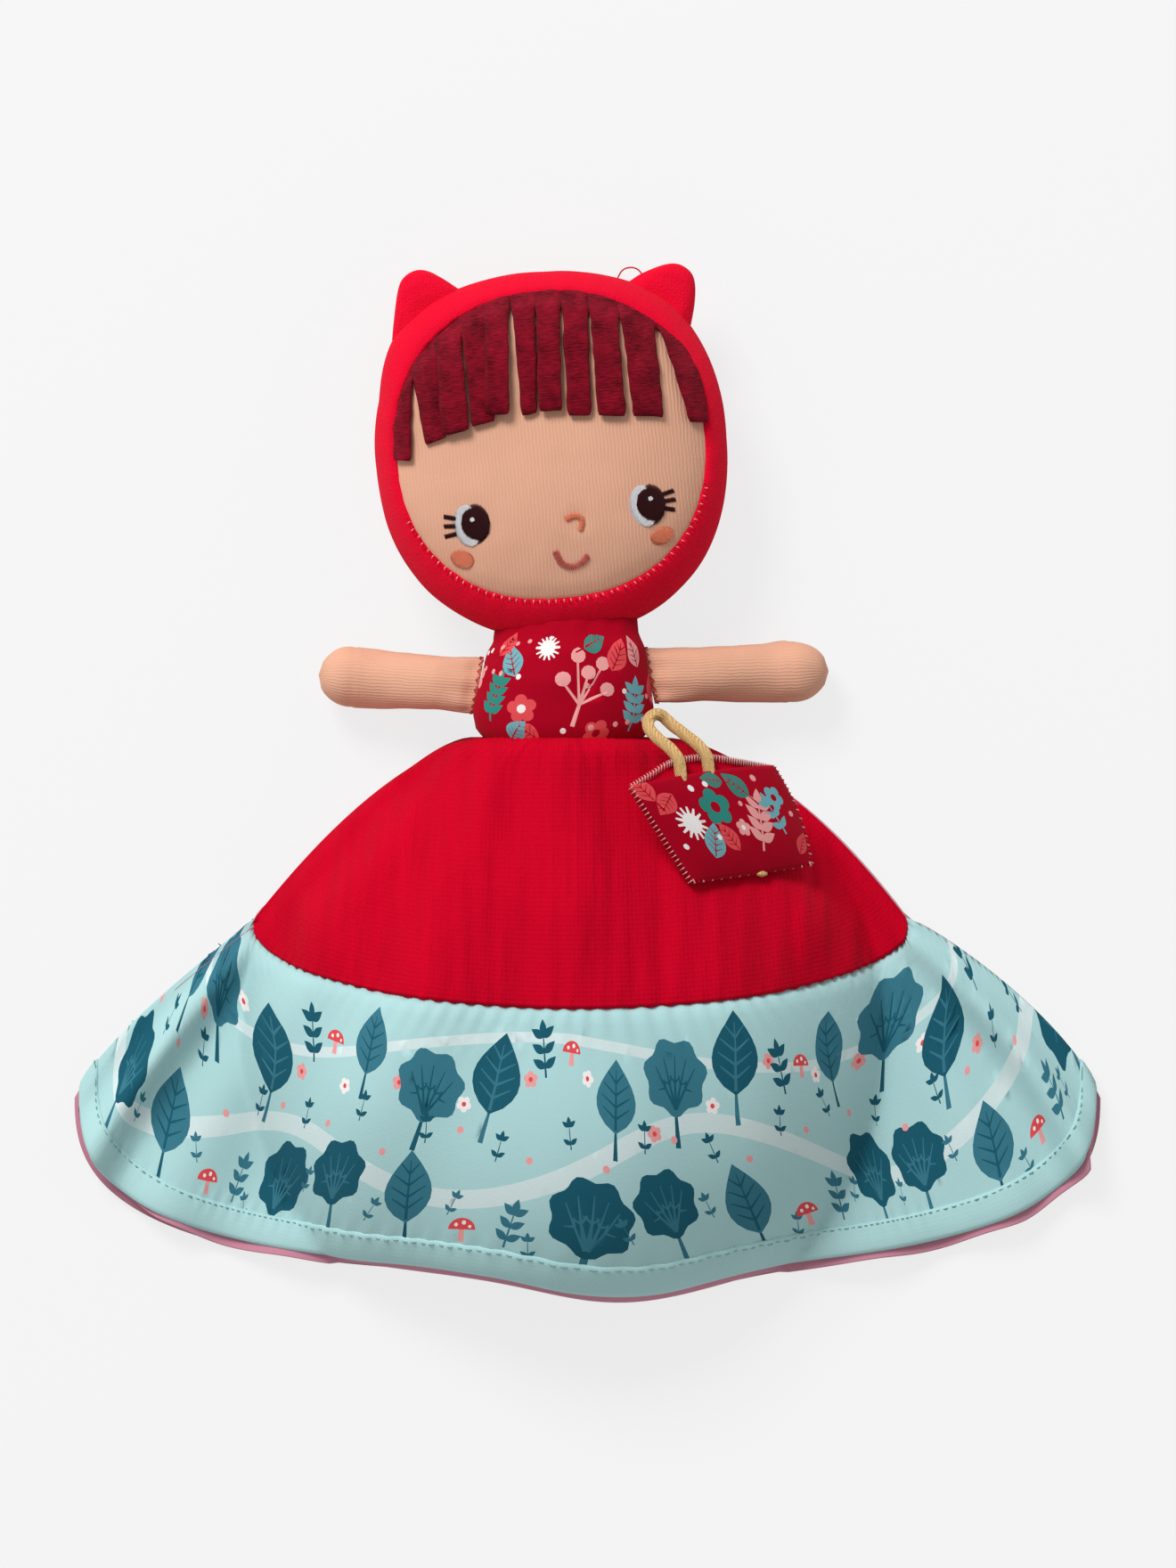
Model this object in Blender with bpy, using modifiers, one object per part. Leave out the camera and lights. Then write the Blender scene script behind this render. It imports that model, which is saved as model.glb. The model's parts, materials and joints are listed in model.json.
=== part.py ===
"""Topsy turvy doll: two stuffed cloth dolls joined at the waist under one lined skirt.

The doll lies on its back with the hooded doll out (+Y) and the second doll
inside the skirt (-Y). The origin is on the table under the middle of the waist.
"""
import bmesh
import bpy
import numpy as np
from math import acos, asin, copysign, cos, exp, hypot, pi, radians, sin, sqrt
from mathutils import Matrix, Vector
from mathutils.bvhtree import BVHTree

# Cloth and clearances
CLOTH = 0.0008
GAP = 0.0003
FLAT_DEPTH = 0.0005

# Head, measured from its middle
HEAD_HALF_WIDTH = 0.0450
HEAD_CROWN = 0.0455
HEAD_CHIN = 0.0475
HEAD_THICKNESS = 0.0420
HEAD_FULLNESS = 2.4
HEAD_SQUARENESS = 2.2
NECK_TO_MIDDLE = 0.0446
HEAD_TILT = radians(5.0)
# Edge of the face as a share of the head's outline, and how much smaller it is at the chin
FACE_EDGE_SHARE = 0.882
FACE_CHIN_SHARE = 0.085
NECK_CLOSENESS_SHARE = 0.4
# Rings from the face's middle to its edge, from there to the side seam, and over the back
FACE_RING_SHARES = (0.30, 0.60, 0.82, 1.0)
HOOD_RING_SHARES = (0.0, 0.40, 0.72, 0.93, 1.0)
BACK_RING_SHARES = (0.0, 0.05, 0.26, 0.50, 0.72, 0.88)
FILLING_RING_ANGLES = tuple(radians(degrees) for degrees in (20, 45, 68, 90, 112, 135, 160))

# Ears on the hood
EAR_ANGLE_LEFT = radians(33.0)
EAR_ANGLE_RIGHT = radians(38.0)
EAR_WIDTH = 0.0200
EAR_REACH = 0.0128
EAR_THICKNESS = 0.0070

# Fringe of fleece strips
FRINGE_STRIPS = 11
FRINGE_THICKNESS = 0.0013
FRINGE_LIFT = 0.0009
FRINGE_SLIT = 0.0007
FRINGE_SPREAD_SHARE = 0.985
FRINGE_ROOT = 0.0026
FRINGE_SHORTEST = 0.0039
FRINGE_ROOT_SHARE = 0.80
FRINGE_LEVEL_SHARES = (1.0, 0.66, 0.33, 0.0)
# Height of each strip's end above the head's middle, as shares of the face's radius
FRINGE_END_SHARES = (0.01, 0.12, 0.16, 0.21, 0.25, 0.24, 0.25, 0.20, 0.19, 0.16, 0.11)

# Stitched features, measured from the head's middle
TRIM = 0.0006
EYE_SPACING = 0.0225
EYE_SHIFT = 0.0014
EYE_LEVEL = -0.0166
EYE_HALF_WIDTH = 0.0042
EYE_HALF_HEIGHT = 0.0052
EYE_LEAN = radians(7.0)
NOSE_SHIFT = 0.0043
NOSE_LEVEL = -0.0175
NOSE_WIDTH = 0.0040
MOUTH_SHIFT = 0.0029
MOUTH_LEVEL = -0.0300
MOUTH_HALF_WIDTH = 0.0044
MOUTH_DROP = 0.0040
CHEEK_SPACING = 0.0257
CHEEK_LEVEL = -0.0249
CHEEK_HALF_WIDTH = 0.0031
CHEEK_HALF_HEIGHT = 0.0022
LINE_HALF_WIDTH = 0.0007
STITCH_RING_SHARES = (0.55, 1.0)

# Body, from the waist seam to the shoulder
BODY_LENGTH = 0.0270
BODY_HALF_WIDTH = 0.0228
BODY_HALF_THICKNESS = 0.0163
NECK_SEAM = 0.0304
NECK_SHIFT = 0.0009
NECK_TUBE_HALF_WIDTH = 0.0140
NECK_TUBE_HALF_THICKNESS = 0.0066
NECK_TUBE_REACH = 0.0056
NECK_ROOM = 0.0020
NECK_SLOPE = 0.0016
SIDE_HEM_SHARE = 0.02
# Distance along the body, half width and half thickness, as shares
BODY_SHARES = ((0.01, 0.80, 0.86), (0.15, 0.965, 0.97), (0.30, 1.0, 1.0), (0.60, 0.947, 1.0),
               (0.89, 0.87, 0.89), (1.0, 0.77, 0.66))

# Arms, from the side seam to the tip of the hand
ARM_LENGTH_LEFT = 0.0416
ARM_LENGTH_RIGHT = 0.0464
SECOND_ARM_LENGTH = 0.0445
ARM_HALF_WIDTH = 0.0080
ARM_HALF_THICKNESS = 0.0086
ARM_PINCH = 0.0015
ARM_SEAT_LEFT = 0.0150
ARM_SEAT_RIGHT = 0.0176
ARM_LEAN_LEFT = radians(176.0)
ARM_LEAN_RIGHT = radians(1.5)
SECOND_ARM_SEAT = 0.0175
ARM_TUCK = radians(45.0)
# Distance along the arm, half width and half thickness, as shares
ARM_SHARES = ((0.0, 0.91, 0.0), (0.10, 0.89, 0.36), (0.28, 0.88, 0.72), (0.52, 0.93, 0.94),
              (0.76, 1.0, 1.0), (0.90, 0.86, 0.86), (0.975, 0.50, 0.50))
ARM_SETTLED_SHARE = 0.76
ARM_TWIST_SHARE = 0.28

# Skirt, as it is spread on the table
WAIST_HALF_WIDTH = 0.0240
WAIST_OVERLAP = 0.0018
SEAM_MIDDLE_X = 0.0045
SEAM_MIDDLE_Y = -0.0475
SEAM_HALF_WIDTH = 0.0850
SEAM_DEPTH = 0.0200
SEAM_SWEEP = radians(97.0)
HEM_MIDDLE_X = 0.0064
HEM_MIDDLE_Y = -0.0890
HEM_HALF_WIDTH = 0.1316
HEM_DEPTH = 0.0455
HEM_SWEEP = radians(90.0)
HEM_SQUARENESS = 2.8
# How quickly the gauze and the border widen, at the left side and at the right
GAUZE_SPREAD_POWERS = (0.65, 0.48)
BORDER_SPREAD_POWERS = (1.0, 0.8)
# The wave of the hem, in front of the second doll's head
HEM_WAVE = 0.0075
HEM_WAVE_X = 0.0150
HEM_WAVE_SPREAD = 0.0300
LINING_PEEK = 0.0015
DRAPE_ROOM = 0.0020
SIDE_RIDGE_HEIGHT = 0.0050
SIDE_RIDGE_SHARE = 0.83
SIDE_RIDGE_SPREAD_SHARE = 0.075
FOLD_COUNT = 7
FOLD_WAIST_DEPTH = 0.0007
FOLD_HEM_DEPTH = 0.0019
FOLD_FADE_POWER = 4.0
OVERLAP_FADE_SHARE = 0.125
# Where, along the skirt, its side edges and its ridges come to their full height
EDGE_RISE_SHARE = 0.15
RIDGE_START_SHARE = 0.85
RIDGE_RISE_SHARE = 0.60
# How steeply the skirt falls to its side seams, at the waist and from there on
WAIST_FALL_POWER = 0.35
SKIRT_FALL_POWER = 0.12
FALL_FADE_SHARE = 0.60

# Drape over the second doll: reaches in half widths of the form below
HEAD_REACH_SHARE = 1.9
BODY_REACH_SHARE = 1.75
ARM_REACH_SHARE = 2.4
ARM_RIDGE_ROOM = 0.0035
ARM_LIFT_ROOM = 0.0030
BUMP_POWER = 3.0
DRAPE_POWER = 6.0

# Bag, which lies on the skirt by the right arm
BAG_TOP_WIDTH = 0.0480
BAG_BOTTOM_WIDTH = 0.0395
BAG_HEIGHT = 0.0268
BAG_LEAN = 0.0110
BAG_BULGE = 0.0030
BAG_FLAP = 0.0052
BAG_TURN = radians(8.0)
BAG_X = 0.0348
BAG_Y = -0.0083
HANDLE_DIAMETER = 0.0032
HANDLE_REACH = 0.0168
HANDLE_DROOP = 0.0085
HANDLE_LEFT = -0.0079
HANDLE_RIGHT = 0.0012
HANDLE_TOP = -0.0072
HANDLE_DROOP_SHARE = 0.25
# The bag's raised back edge: places across it and shares of its height
BAG_FLAP_SHARES = ((0.40, 0.70), (0.06, 1.0), (-0.385, 1.0), (-0.73, 0.50))
BAG_PUFF_MIDDLE_SHARE = 0.42
BAG_PUFF_FALL_SHARE = 0.55
# The handle's route: shares of the way between its feet, and of its reach
HANDLE_ROUTE_SHARES = ((0.0, 0.02), (0.0, 0.35), (-0.243, 0.78), (-0.083, 0.97), (0.205, 1.0),
                       (0.429, 0.82), (0.84, 0.35), (1.0, 0.02))

# Facets
HEAD_SEGMENTS = 24
SECOND_HEAD_SEGMENTS = 20
BODY_SEGMENTS = 20
ARM_SEGMENTS = 10
EAR_SEGMENTS = 12
EAR_RINGS = 7
STITCH_SEGMENTS = 12
STITCH_STEPS = 6
SKIRT_COLUMNS = 36
TOP_ROWS = 6
BORDER_ROWS = 7
BACK_COLUMNS = 28
BACK_ROWS = 4
BAG_ROWS = 6
BAG_COLUMNS = 8
SAMPLE_STEPS = 24
HANDLE_STEPS = 3
HANDLE_RING_COUNT = 2

# Colours
CLOTH_ROUGHNESS = 0.9
RED = (0.74, 0.008, 0.040)
CRIMSON = (0.33, 0.006, 0.020)
BURGUNDY = (0.085, 0.006, 0.012)
SKIN = (0.80, 0.44, 0.31)
AQUA = (0.36, 0.62, 0.62)
PINK = (0.62, 0.20, 0.28)
CORAL = (0.82, 0.20, 0.13)
DARK = (0.045, 0.010, 0.014)
TAN = (0.70, 0.42, 0.16)
WHITE = (0.80, 0.78, 0.74)

STACK = 2.0 * CLOTH + GAP
BACK_TOP = STACK
SECOND_FLOOR = BACK_TOP + GAP
HEAD_HALF_THICKNESS = HEAD_THICKNESS / 2.0
FIRST_HEAD_MIDDLE = HEAD_HALF_THICKNESS - FLAT_DEPTH
SECOND_HEAD_MIDDLE = SECOND_FLOOR + HEAD_HALF_THICKNESS - FLAT_DEPTH
BODY_MIDDLE = SECOND_FLOOR + BODY_HALF_THICKNESS
NECK_TOP = NECK_SEAM + NECK_TUBE_REACH


def start_scene():
    """Empty the scene and make the collection that holds the parts."""
    for thing in list(bpy.data.objects):
        bpy.data.objects.remove(thing, do_unlink=True)
    parts = bpy.data.collections.new("topsy_turvy_doll")
    bpy.context.scene.collection.children.link(parts)
    return parts


def cloth_material(name, color):
    """A rough, plain coloured material."""
    material = bpy.data.materials.new(name)
    material.use_nodes = True
    shader = material.node_tree.nodes["Principled BSDF"]
    shader.inputs["Base Color"].default_value = (*color, 1.0)
    shader.inputs["Roughness"].default_value = CLOTH_ROUGHNESS
    shader.inputs["Metallic"].default_value = 0.0
    return material


class Workshop:
    """Holds the collection and the materials, and puts new objects there."""

    def __init__(self, parts):
        self.parts = parts
        self.materials = {}

    def frame(self, name, location, turn=0.0):
        empty = bpy.data.objects.new(name, None)
        empty.location = location
        empty.rotation_euler = (0.0, 0.0, turn)
        empty.empty_display_size = BODY_HALF_WIDTH
        self.parts.objects.link(empty)
        return empty

    def place(self, name, data, color, parent=None):
        made = bpy.data.objects.new(name, data)
        key = "cloth_" + name
        self.materials[key] = cloth_material(key, color)
        data.materials.append(self.materials[key])
        self.parts.objects.link(made)
        made.parent = parent
        return made

    def add(self, name, bm, color, parent=None, thickness=0.0):
        """Make a named object of a bmesh, thickened inwards where it is a cloth."""
        mesh = bpy.data.meshes.new(name)
        bm.to_mesh(mesh)
        bm.free()
        mesh.shade_smooth()
        made = self.place(name, mesh, color, parent)
        if thickness:
            cloth = made.modifiers.new("cloth", "SOLIDIFY")
            cloth.thickness = thickness
            cloth.offset = -1.0
        return made


def loft(rows, closed=True, first=None, last=None):
    """Join rows of points into a surface, with a fan to a first or last point."""
    bm = bmesh.new()
    rings = [[bm.verts.new(point) for point in row] for row in rows]
    count = len(rings[0])
    columns = count if closed else count - 1
    for low, high in zip(rings, rings[1:]):
        for j in range(columns):
            k = (j + 1) % count
            bm.faces.new((low[j], high[j], high[k], low[k]))
    for point, ring, ahead in ((first, rings[0], True), (last, rings[-1], False)):
        if point is None:
            continue
        tip = bm.verts.new(point)
        for j in range(columns):
            k = (j + 1) % count
            bm.faces.new((tip, ring[j], ring[k]) if ahead else (tip, ring[k], ring[j]))
    return bm


def face_outwards(bm, middle):
    """Turn an open surface so that its faces point away from the middle."""
    bm.normal_update()
    lean = sum(face.normal.dot(face.calc_center_median() - middle) for face in bm.faces)
    if lean < 0.0:
        bmesh.ops.reverse_faces(bm, faces=bm.faces[:])
    bm.normal_update()
    return bm


def close_ends(bm):
    """Cap every open end of a lofted solid and point its faces outwards."""
    edges = [edge for edge in bm.edges if edge.is_boundary]
    if edges:
        bmesh.ops.holes_fill(bm, edges=edges, sides=0)
    if bm.calc_volume(signed=True) < 0.0:
        bmesh.ops.reverse_faces(bm, faces=bm.faces[:])
    return bm


def draw_in(bm, depth):
    """Move every point of a surface inwards along its normal."""
    bm.normal_update()
    shifts = [(vert, vert.normal * depth) for vert in bm.verts]
    for vert, shift in shifts:
        vert.co -= shift
    return bm


def ease(share):
    """Rise smoothly from 0 to 1."""
    share = min(1.0, max(0.0, share))
    return share * share * (3.0 - 2.0 * share)


def even_runs(start, end, steps):
    return [start + (end - start) * i / steps for i in range(steps + 1)]


def between(table, place):
    """Read a table of shares at a place along it, in straight steps."""
    for low, high in zip(table, table[1:]):
        if place <= high[0]:
            part = (place - low[0]) / (high[0] - low[0])
            return [a + (b - a) * part for a, b in zip(low[1:], high[1:])]
    return list(table[-1][1:])


# Head


def head_reach(phi, inset):
    """Distance from the middle of the head to its outline, in the direction phi."""
    across = HEAD_HALF_WIDTH - inset
    along = (HEAD_CROWN if sin(phi) > 0.0 else HEAD_CHIN) - inset
    wide = abs(cos(phi) / across) ** HEAD_SQUARENESS
    return (wide + abs(sin(phi) / along) ** HEAD_SQUARENESS) ** (-1.0 / HEAD_SQUARENESS)


def head_point(phi, polar, inset, floor):
    """A point of the head's cushion shape, from its front pole to its back pole."""
    rho = max(0.0, sin(polar)) ** (2.0 / HEAD_FULLNESS)
    reach = rho * head_reach(phi, inset)
    high = (HEAD_HALF_THICKNESS - inset) * cos(polar)
    return Vector((reach * cos(phi), NECK_TO_MIDDLE + reach * sin(phi), max(high, floor + inset)))


def face_share(phi):
    """Edge of the face in the direction phi, as a share of the head's outline."""
    return FACE_EDGE_SHARE - FACE_CHIN_SHARE * max(0.0, -sin(phi)) ** 2.0


def head_polar(share):
    """The polar angle at which the cushion shape reaches this share of its outline."""
    return asin(share ** (HEAD_FULLNESS / 2.0))


def face_height(x, y):
    """Height of the face above the head's middle plane, at a point of its plan."""
    dy = y - NECK_TO_MIDDLE
    along = HEAD_CROWN if dy > 0.0 else HEAD_CHIN
    wide = abs(x / HEAD_HALF_WIDTH) ** HEAD_SQUARENESS
    rho = min(1.0, (wide + abs(dy / along) ** HEAD_SQUARENESS) ** (1.0 / HEAD_SQUARENESS))
    return HEAD_HALF_THICKNESS * sqrt(max(0.0, 1.0 - rho ** HEAD_FULLNESS))


def cut_neck(bm, level, cap=False):
    """Cut the head's shape open across the neck."""
    geometry = bm.verts[:] + bm.edges[:] + bm.faces[:]
    bmesh.ops.bisect_plane(bm, geom=geometry, plane_co=(0.0, level, 0.0), plane_no=(0.0, 1.0, 0.0),
                           clear_inner=True, dist=GAP / 100.0)
    if cap:
        close_ends(bm)
    return bm


def ring_angles(segments, offset_share=0.5):
    return [2.0 * pi * (j + offset_share) / segments for j in range(segments)]


def head_angles(segments):
    """Directions round the head, closer together at the neck."""
    shares = [(j + 0.5) / segments for j in range(segments)]
    return [2.0 * pi * share - NECK_CLOSENESS_SHARE * sin(2.0 * pi * share) - pi / 2.0 for share in shares]


def make_face_panel(shop, prefix, parent, segments):
    angles = head_angles(segments)
    rows = [[head_point(a, share * head_polar(face_share(a)), 0.0, -HEAD_THICKNESS) for a in angles]
            for share in FACE_RING_SHARES]
    pole = head_point(0.0, 0.0, 0.0, -HEAD_THICKNESS)
    bm = face_outwards(loft(rows, first=pole), Vector((0.0, NECK_TO_MIDDLE, 0.0)))
    return shop.add(prefix + "face_panel", bm, SKIN, parent, CLOTH)


def make_head_cover(shop, names, color, parent, floor, segments):
    """The hood or cap: a ring round the face and a back, open at the neck."""
    angles = head_angles(segments)
    middle = Vector((0.0, NECK_TO_MIDDLE, 0.0))
    side = acos(GAP / 2.0 / HEAD_HALF_THICKNESS)
    edge = [head_polar(face_share(a) + GAP / HEAD_HALF_WIDTH) for a in angles]
    rows = []
    for share in HOOD_RING_SHARES:
        rows.append([head_point(a, start + (side - start) * share, 0.0, floor)
                     for a, start in zip(angles, edge)])
    front = cut_neck(loft(rows), 0.0)
    shop.add(names[0], face_outwards(front, middle), color, parent, CLOTH)
    rows = []
    for share in BACK_RING_SHARES:
        polar = pi - side + side * share
        rows.append([head_point(a, polar, 0.0, floor) for a in angles])
    back = cut_neck(loft(rows, last=head_point(0.0, pi, 0.0, floor)), 0.0)
    shop.add(names[1], face_outwards(back, middle), color, parent, CLOTH)


def make_head_filling(shop, prefix, parent, floor, segments):
    angles = head_angles(segments)
    inset = CLOTH + GAP
    rows = [[head_point(a, polar, inset, floor) for a in angles] for polar in FILLING_RING_ANGLES]
    bm = loft(rows, first=head_point(0.0, 0.0, inset, floor), last=head_point(0.0, pi, inset, floor))
    close_ends(bm)
    cut_neck(bm, NECK_TUBE_REACH + NECK_ROOM, cap=True)
    shop.add(prefix + "head_filling", bm, WHITE, parent)


def make_ear(shop, name, parent, angle):
    """A small rounded ear that stands on the hood's top seam."""
    bm = bmesh.new()
    bmesh.ops.create_uvsphere(bm, u_segments=EAR_SEGMENTS, v_segments=EAR_RINGS, radius=1.0)
    reach = head_reach(pi / 2.0 + angle, 0.0)
    for vert in bm.verts:
        x = vert.co.x * EAR_WIDTH / 2.0
        arc = reach - sqrt(reach * reach - x * x)
        out = GAP - arc + max(0.0, vert.co.y) * EAR_REACH
        vert.co = Vector((x, reach + out, vert.co.z * EAR_THICKNESS / 2.0))
    place = Matrix.Translation((0.0, NECK_TO_MIDDLE, 0.0)) @ Matrix.Rotation(angle, 4, "Z")
    bmesh.ops.transform(bm, matrix=place, verts=bm.verts)
    shop.add(name, close_ends(bm), RED, parent)


def make_fringe(shop, name, parent):
    """A fleece fringe cut into strips, tucked under the edge of the hood."""
    rim = FACE_EDGE_SHARE * HEAD_HALF_WIDTH - GAP
    spread = rim * FRINGE_SPREAD_SHARE
    width = 2.0 * spread / FRINGE_STRIPS
    columns = []
    for strip in range(FRINGE_STRIPS):
        left = -spread + strip * width
        columns.append((strip, left + FRINGE_SLIT / 2.0))
        columns.append((strip, left + width - FRINGE_SLIT / 2.0))
    bm = bmesh.new()
    grid = []
    for strip, x in columns:
        top = sqrt(max(0.0, rim * rim - x * x))
        end = min(FRINGE_END_SHARES[strip] * rim, top - FRINGE_SHORTEST)
        root = max(top - FRINGE_ROOT, end + (top - end) * FRINGE_ROOT_SHARE)
        levels = [top] + [end + (root - end) * share for share in FRINGE_LEVEL_SHARES]
        line = []
        for level in levels:
            y = NECK_TO_MIDDLE + level
            line.append(bm.verts.new((x, y, face_height(x, y) + FRINGE_LIFT + FRINGE_THICKNESS)))
        grid.append(line)
    for j in range(len(grid) - 1):
        rows = len(FRINGE_LEVEL_SHARES) if j % 2 == 0 else 1
        for i in range(rows):
            bm.faces.new((grid[j][i], grid[j][i + 1], grid[j + 1][i + 1], grid[j + 1][i]))
    face_outwards(bm, Vector((0.0, NECK_TO_MIDDLE, 0.0)))
    shop.add(name, bm, BURGUNDY, parent, FRINGE_THICKNESS)


def stitched_oval(shop, name, parent, color, middle, half_width, half_height, turn=0.0):
    """A flat stitched oval that lies on the face."""
    rows = []
    for share in STITCH_RING_SHARES:
        row = []
        for angle in ring_angles(STITCH_SEGMENTS):
            u = half_width * share * cos(angle)
            w = half_height * share * sin(angle)
            x = middle[0] + u * cos(turn) - w * sin(turn)
            y = middle[1] + u * sin(turn) + w * cos(turn)
            row.append(Vector((x, y, face_height(x, y) + GAP + TRIM)))
        rows.append(row)
    pole = Vector((*middle, face_height(*middle) + GAP + TRIM))
    bm = face_outwards(loft(rows, first=pole), Vector((0.0, NECK_TO_MIDDLE, 0.0)))
    shop.add(name, bm, color, parent, TRIM)


def stitched_line(shop, name, parent, color, route, half_width):
    """A narrow stitched line that follows a route on the face."""
    rows = []
    for i, point in enumerate(route):
        ahead = route[min(i + 1, len(route) - 1)]
        behind = route[max(i - 1, 0)]
        along = Vector((ahead[0] - behind[0], ahead[1] - behind[1])).normalized()
        row = []
        for side in (-half_width, half_width):
            x = point[0] - along.y * side
            y = point[1] + along.x * side
            row.append(Vector((x, y, face_height(x, y) + GAP + TRIM)))
        rows.append(row)
    bm = face_outwards(loft(rows, closed=False), Vector((0.0, NECK_TO_MIDDLE, 0.0)))
    shop.add(name, bm, color, parent, TRIM)


def arc_route(x, y, half_width, drop):
    """A shallow curve that hangs between two ends."""
    steps = even_runs(-1.0, 1.0, STITCH_STEPS)
    return [(x + half_width * s, y - drop * (1.0 - s * s)) for s in steps]


def make_features(shop, prefix, parent, awake):
    """The embroidered eyes, nose, mouth and cheeks."""
    for side, word in ((-1.0, "left"), (1.0, "right")):
        x = EYE_SHIFT + side * EYE_SPACING
        y = NECK_TO_MIDDLE + EYE_LEVEL
        if awake:
            stitched_oval(shop, prefix + "eye_" + word, parent, DARK, (x, y),
                          EYE_HALF_WIDTH, EYE_HALF_HEIGHT, -side * EYE_LEAN)
        else:
            route = arc_route(x, y, EYE_HALF_HEIGHT, EYE_HALF_WIDTH)
            stitched_line(shop, prefix + "eye_" + word, parent, DARK, route, LINE_HALF_WIDTH)
        stitched_oval(shop, prefix + "cheek_" + word, parent, CORAL,
                      (side * CHEEK_SPACING, NECK_TO_MIDDLE + CHEEK_LEVEL),
                      CHEEK_HALF_WIDTH, CHEEK_HALF_HEIGHT)
    nose = NECK_TO_MIDDLE + NOSE_LEVEL
    right = NOSE_SHIFT + NOSE_WIDTH / 2.0
    route = ((right - LINE_HALF_WIDTH, nose - NOSE_WIDTH), (right, nose), (right - NOSE_WIDTH, nose))
    stitched_line(shop, prefix + "nose", parent, CORAL, route, LINE_HALF_WIDTH)
    mouth = NECK_TO_MIDDLE + MOUTH_LEVEL + MOUTH_DROP
    route = arc_route(MOUTH_SHIFT, mouth, MOUTH_HALF_WIDTH, MOUTH_DROP)
    stitched_line(shop, prefix + "mouth", parent, PINK, route, LINE_HALF_WIDTH)


def make_first_head(shop):
    neck = (NECK_SHIFT, NECK_SEAM, FIRST_HEAD_MIDDLE)
    parent = shop.frame("head_frame", neck, HEAD_TILT)
    floor = -FIRST_HEAD_MIDDLE
    make_face_panel(shop, "", parent, HEAD_SEGMENTS)
    make_head_cover(shop, ("hood_front", "hood_back"), RED, parent, floor, HEAD_SEGMENTS)
    make_head_filling(shop, "", parent, floor, HEAD_SEGMENTS)
    make_ear(shop, "ear_left", parent, EAR_ANGLE_LEFT)
    make_ear(shop, "ear_right", parent, -EAR_ANGLE_RIGHT)
    make_fringe(shop, "hair_fringe", parent)
    make_features(shop, "", parent, awake=True)


def make_second_head(shop):
    neck = (0.0, -NECK_SEAM, SECOND_HEAD_MIDDLE)
    parent = shop.frame("second_head_frame", neck, pi)
    floor = SECOND_FLOOR - SECOND_HEAD_MIDDLE
    segments = SECOND_HEAD_SEGMENTS
    make_face_panel(shop, "second_", parent, segments)
    names = ("second_cap_front", "second_cap_back")
    make_head_cover(shop, names, PINK, parent, floor, segments)
    make_head_filling(shop, "second_", parent, floor, segments)
    make_fringe(shop, "second_hair_fringe", parent)
    make_features(shop, "second_", parent, awake=False)


# Body


def body_section(distance, head_middle):
    """Middle height, half width and half thickness of the body at a distance."""
    if distance <= BODY_LENGTH:
        wide, thick = between(BODY_SHARES, distance / BODY_LENGTH)
        wide = wide * BODY_HALF_WIDTH
        thick = thick * BODY_HALF_THICKNESS
    else:
        share = min(1.0, (distance - BODY_LENGTH) / NECK_SLOPE)
        wide, thick = between(BODY_SHARES, 1.0)
        wide = wide * BODY_HALF_WIDTH + (NECK_TUBE_HALF_WIDTH - wide * BODY_HALF_WIDTH) * share
        thick = thick * BODY_HALF_THICKNESS
        thick = thick + (NECK_TUBE_HALF_THICKNESS - thick) * share
    rise = ease(distance / NECK_SEAM) * (head_middle - BODY_MIDDLE)
    return BODY_MIDDLE + rise, wide, thick


def body_stations(start, end):
    """Distances along the body at which its sections are drawn."""
    marks = [share[0] * BODY_LENGTH for share in BODY_SHARES]
    marks += [BODY_LENGTH + NECK_SLOPE, NECK_TOP]
    inner = [mark for mark in marks if start + GAP < mark < end - GAP]
    return [start] + inner + [end]


def body_ring(distance, way, head_middle, angles):
    middle, wide, thick = body_section(distance, head_middle)
    shift = NECK_SHIFT * ease(distance / NECK_SEAM) if way > 0.0 else 0.0
    return [Vector((shift + wide * cos(a), way * distance, middle + thick * sin(a))) for a in angles]


def make_bodice(shop, prefix, way, head_middle):
    """Front and back of the bodice, sewn at the sides, with the neck open."""
    half = BODY_SEGMENTS // 2
    slit = GAP / 2.0 / NECK_TUBE_HALF_THICKNESS
    for word, low, high in (("front", slit, pi - slit), ("back", pi + slit, 2.0 * pi - slit)):
        shares = [0.0, SIDE_HEM_SHARE] + [j / half for j in range(1, half)] + [1.0 - SIDE_HEM_SHARE, 1.0]
        angles = [low + (high - low) * share for share in shares]
        rows = [body_ring(d, way, head_middle, angles) for d in body_stations(GAP / 2.0, NECK_TOP)]
        bm = face_outwards(loft(rows, closed=False), Vector((0.0, way * BODY_LENGTH / 2.0, BODY_MIDDLE)))
        shop.add(prefix + "bodice_" + word, bm, CRIMSON if way > 0.0 else PINK, None, CLOTH)


def make_body_filling(shop):
    """One stuffing that runs through the waist from neck to neck."""
    angles = ring_angles(BODY_SEGMENTS, 0.0)
    rows = []
    for d in reversed(body_stations(0.0, NECK_TOP)):
        rows.append(body_ring(d, -1.0, SECOND_HEAD_MIDDLE, angles))
    for d in body_stations(0.0, NECK_TOP)[1:]:
        rows.append(body_ring(d, 1.0, FIRST_HEAD_MIDDLE, angles))
    core = face_outwards(loft(rows), Vector((0.0, 0.0, BODY_MIDDLE)))
    shop.add("body_filling", close_ends(draw_in(core, CLOTH + GAP)), WHITE)


# Arms


def side_lean(seat):
    """Angle of the bodice's side seam from the body's length, where the arm sits."""
    near = body_section(seat - ARM_HALF_WIDTH / 2.0, BODY_MIDDLE)[1]
    far = body_section(seat + ARM_HALF_WIDTH / 2.0, BODY_MIDDLE)[1]
    return asin((near - far) / ARM_HALF_WIDTH)


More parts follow.
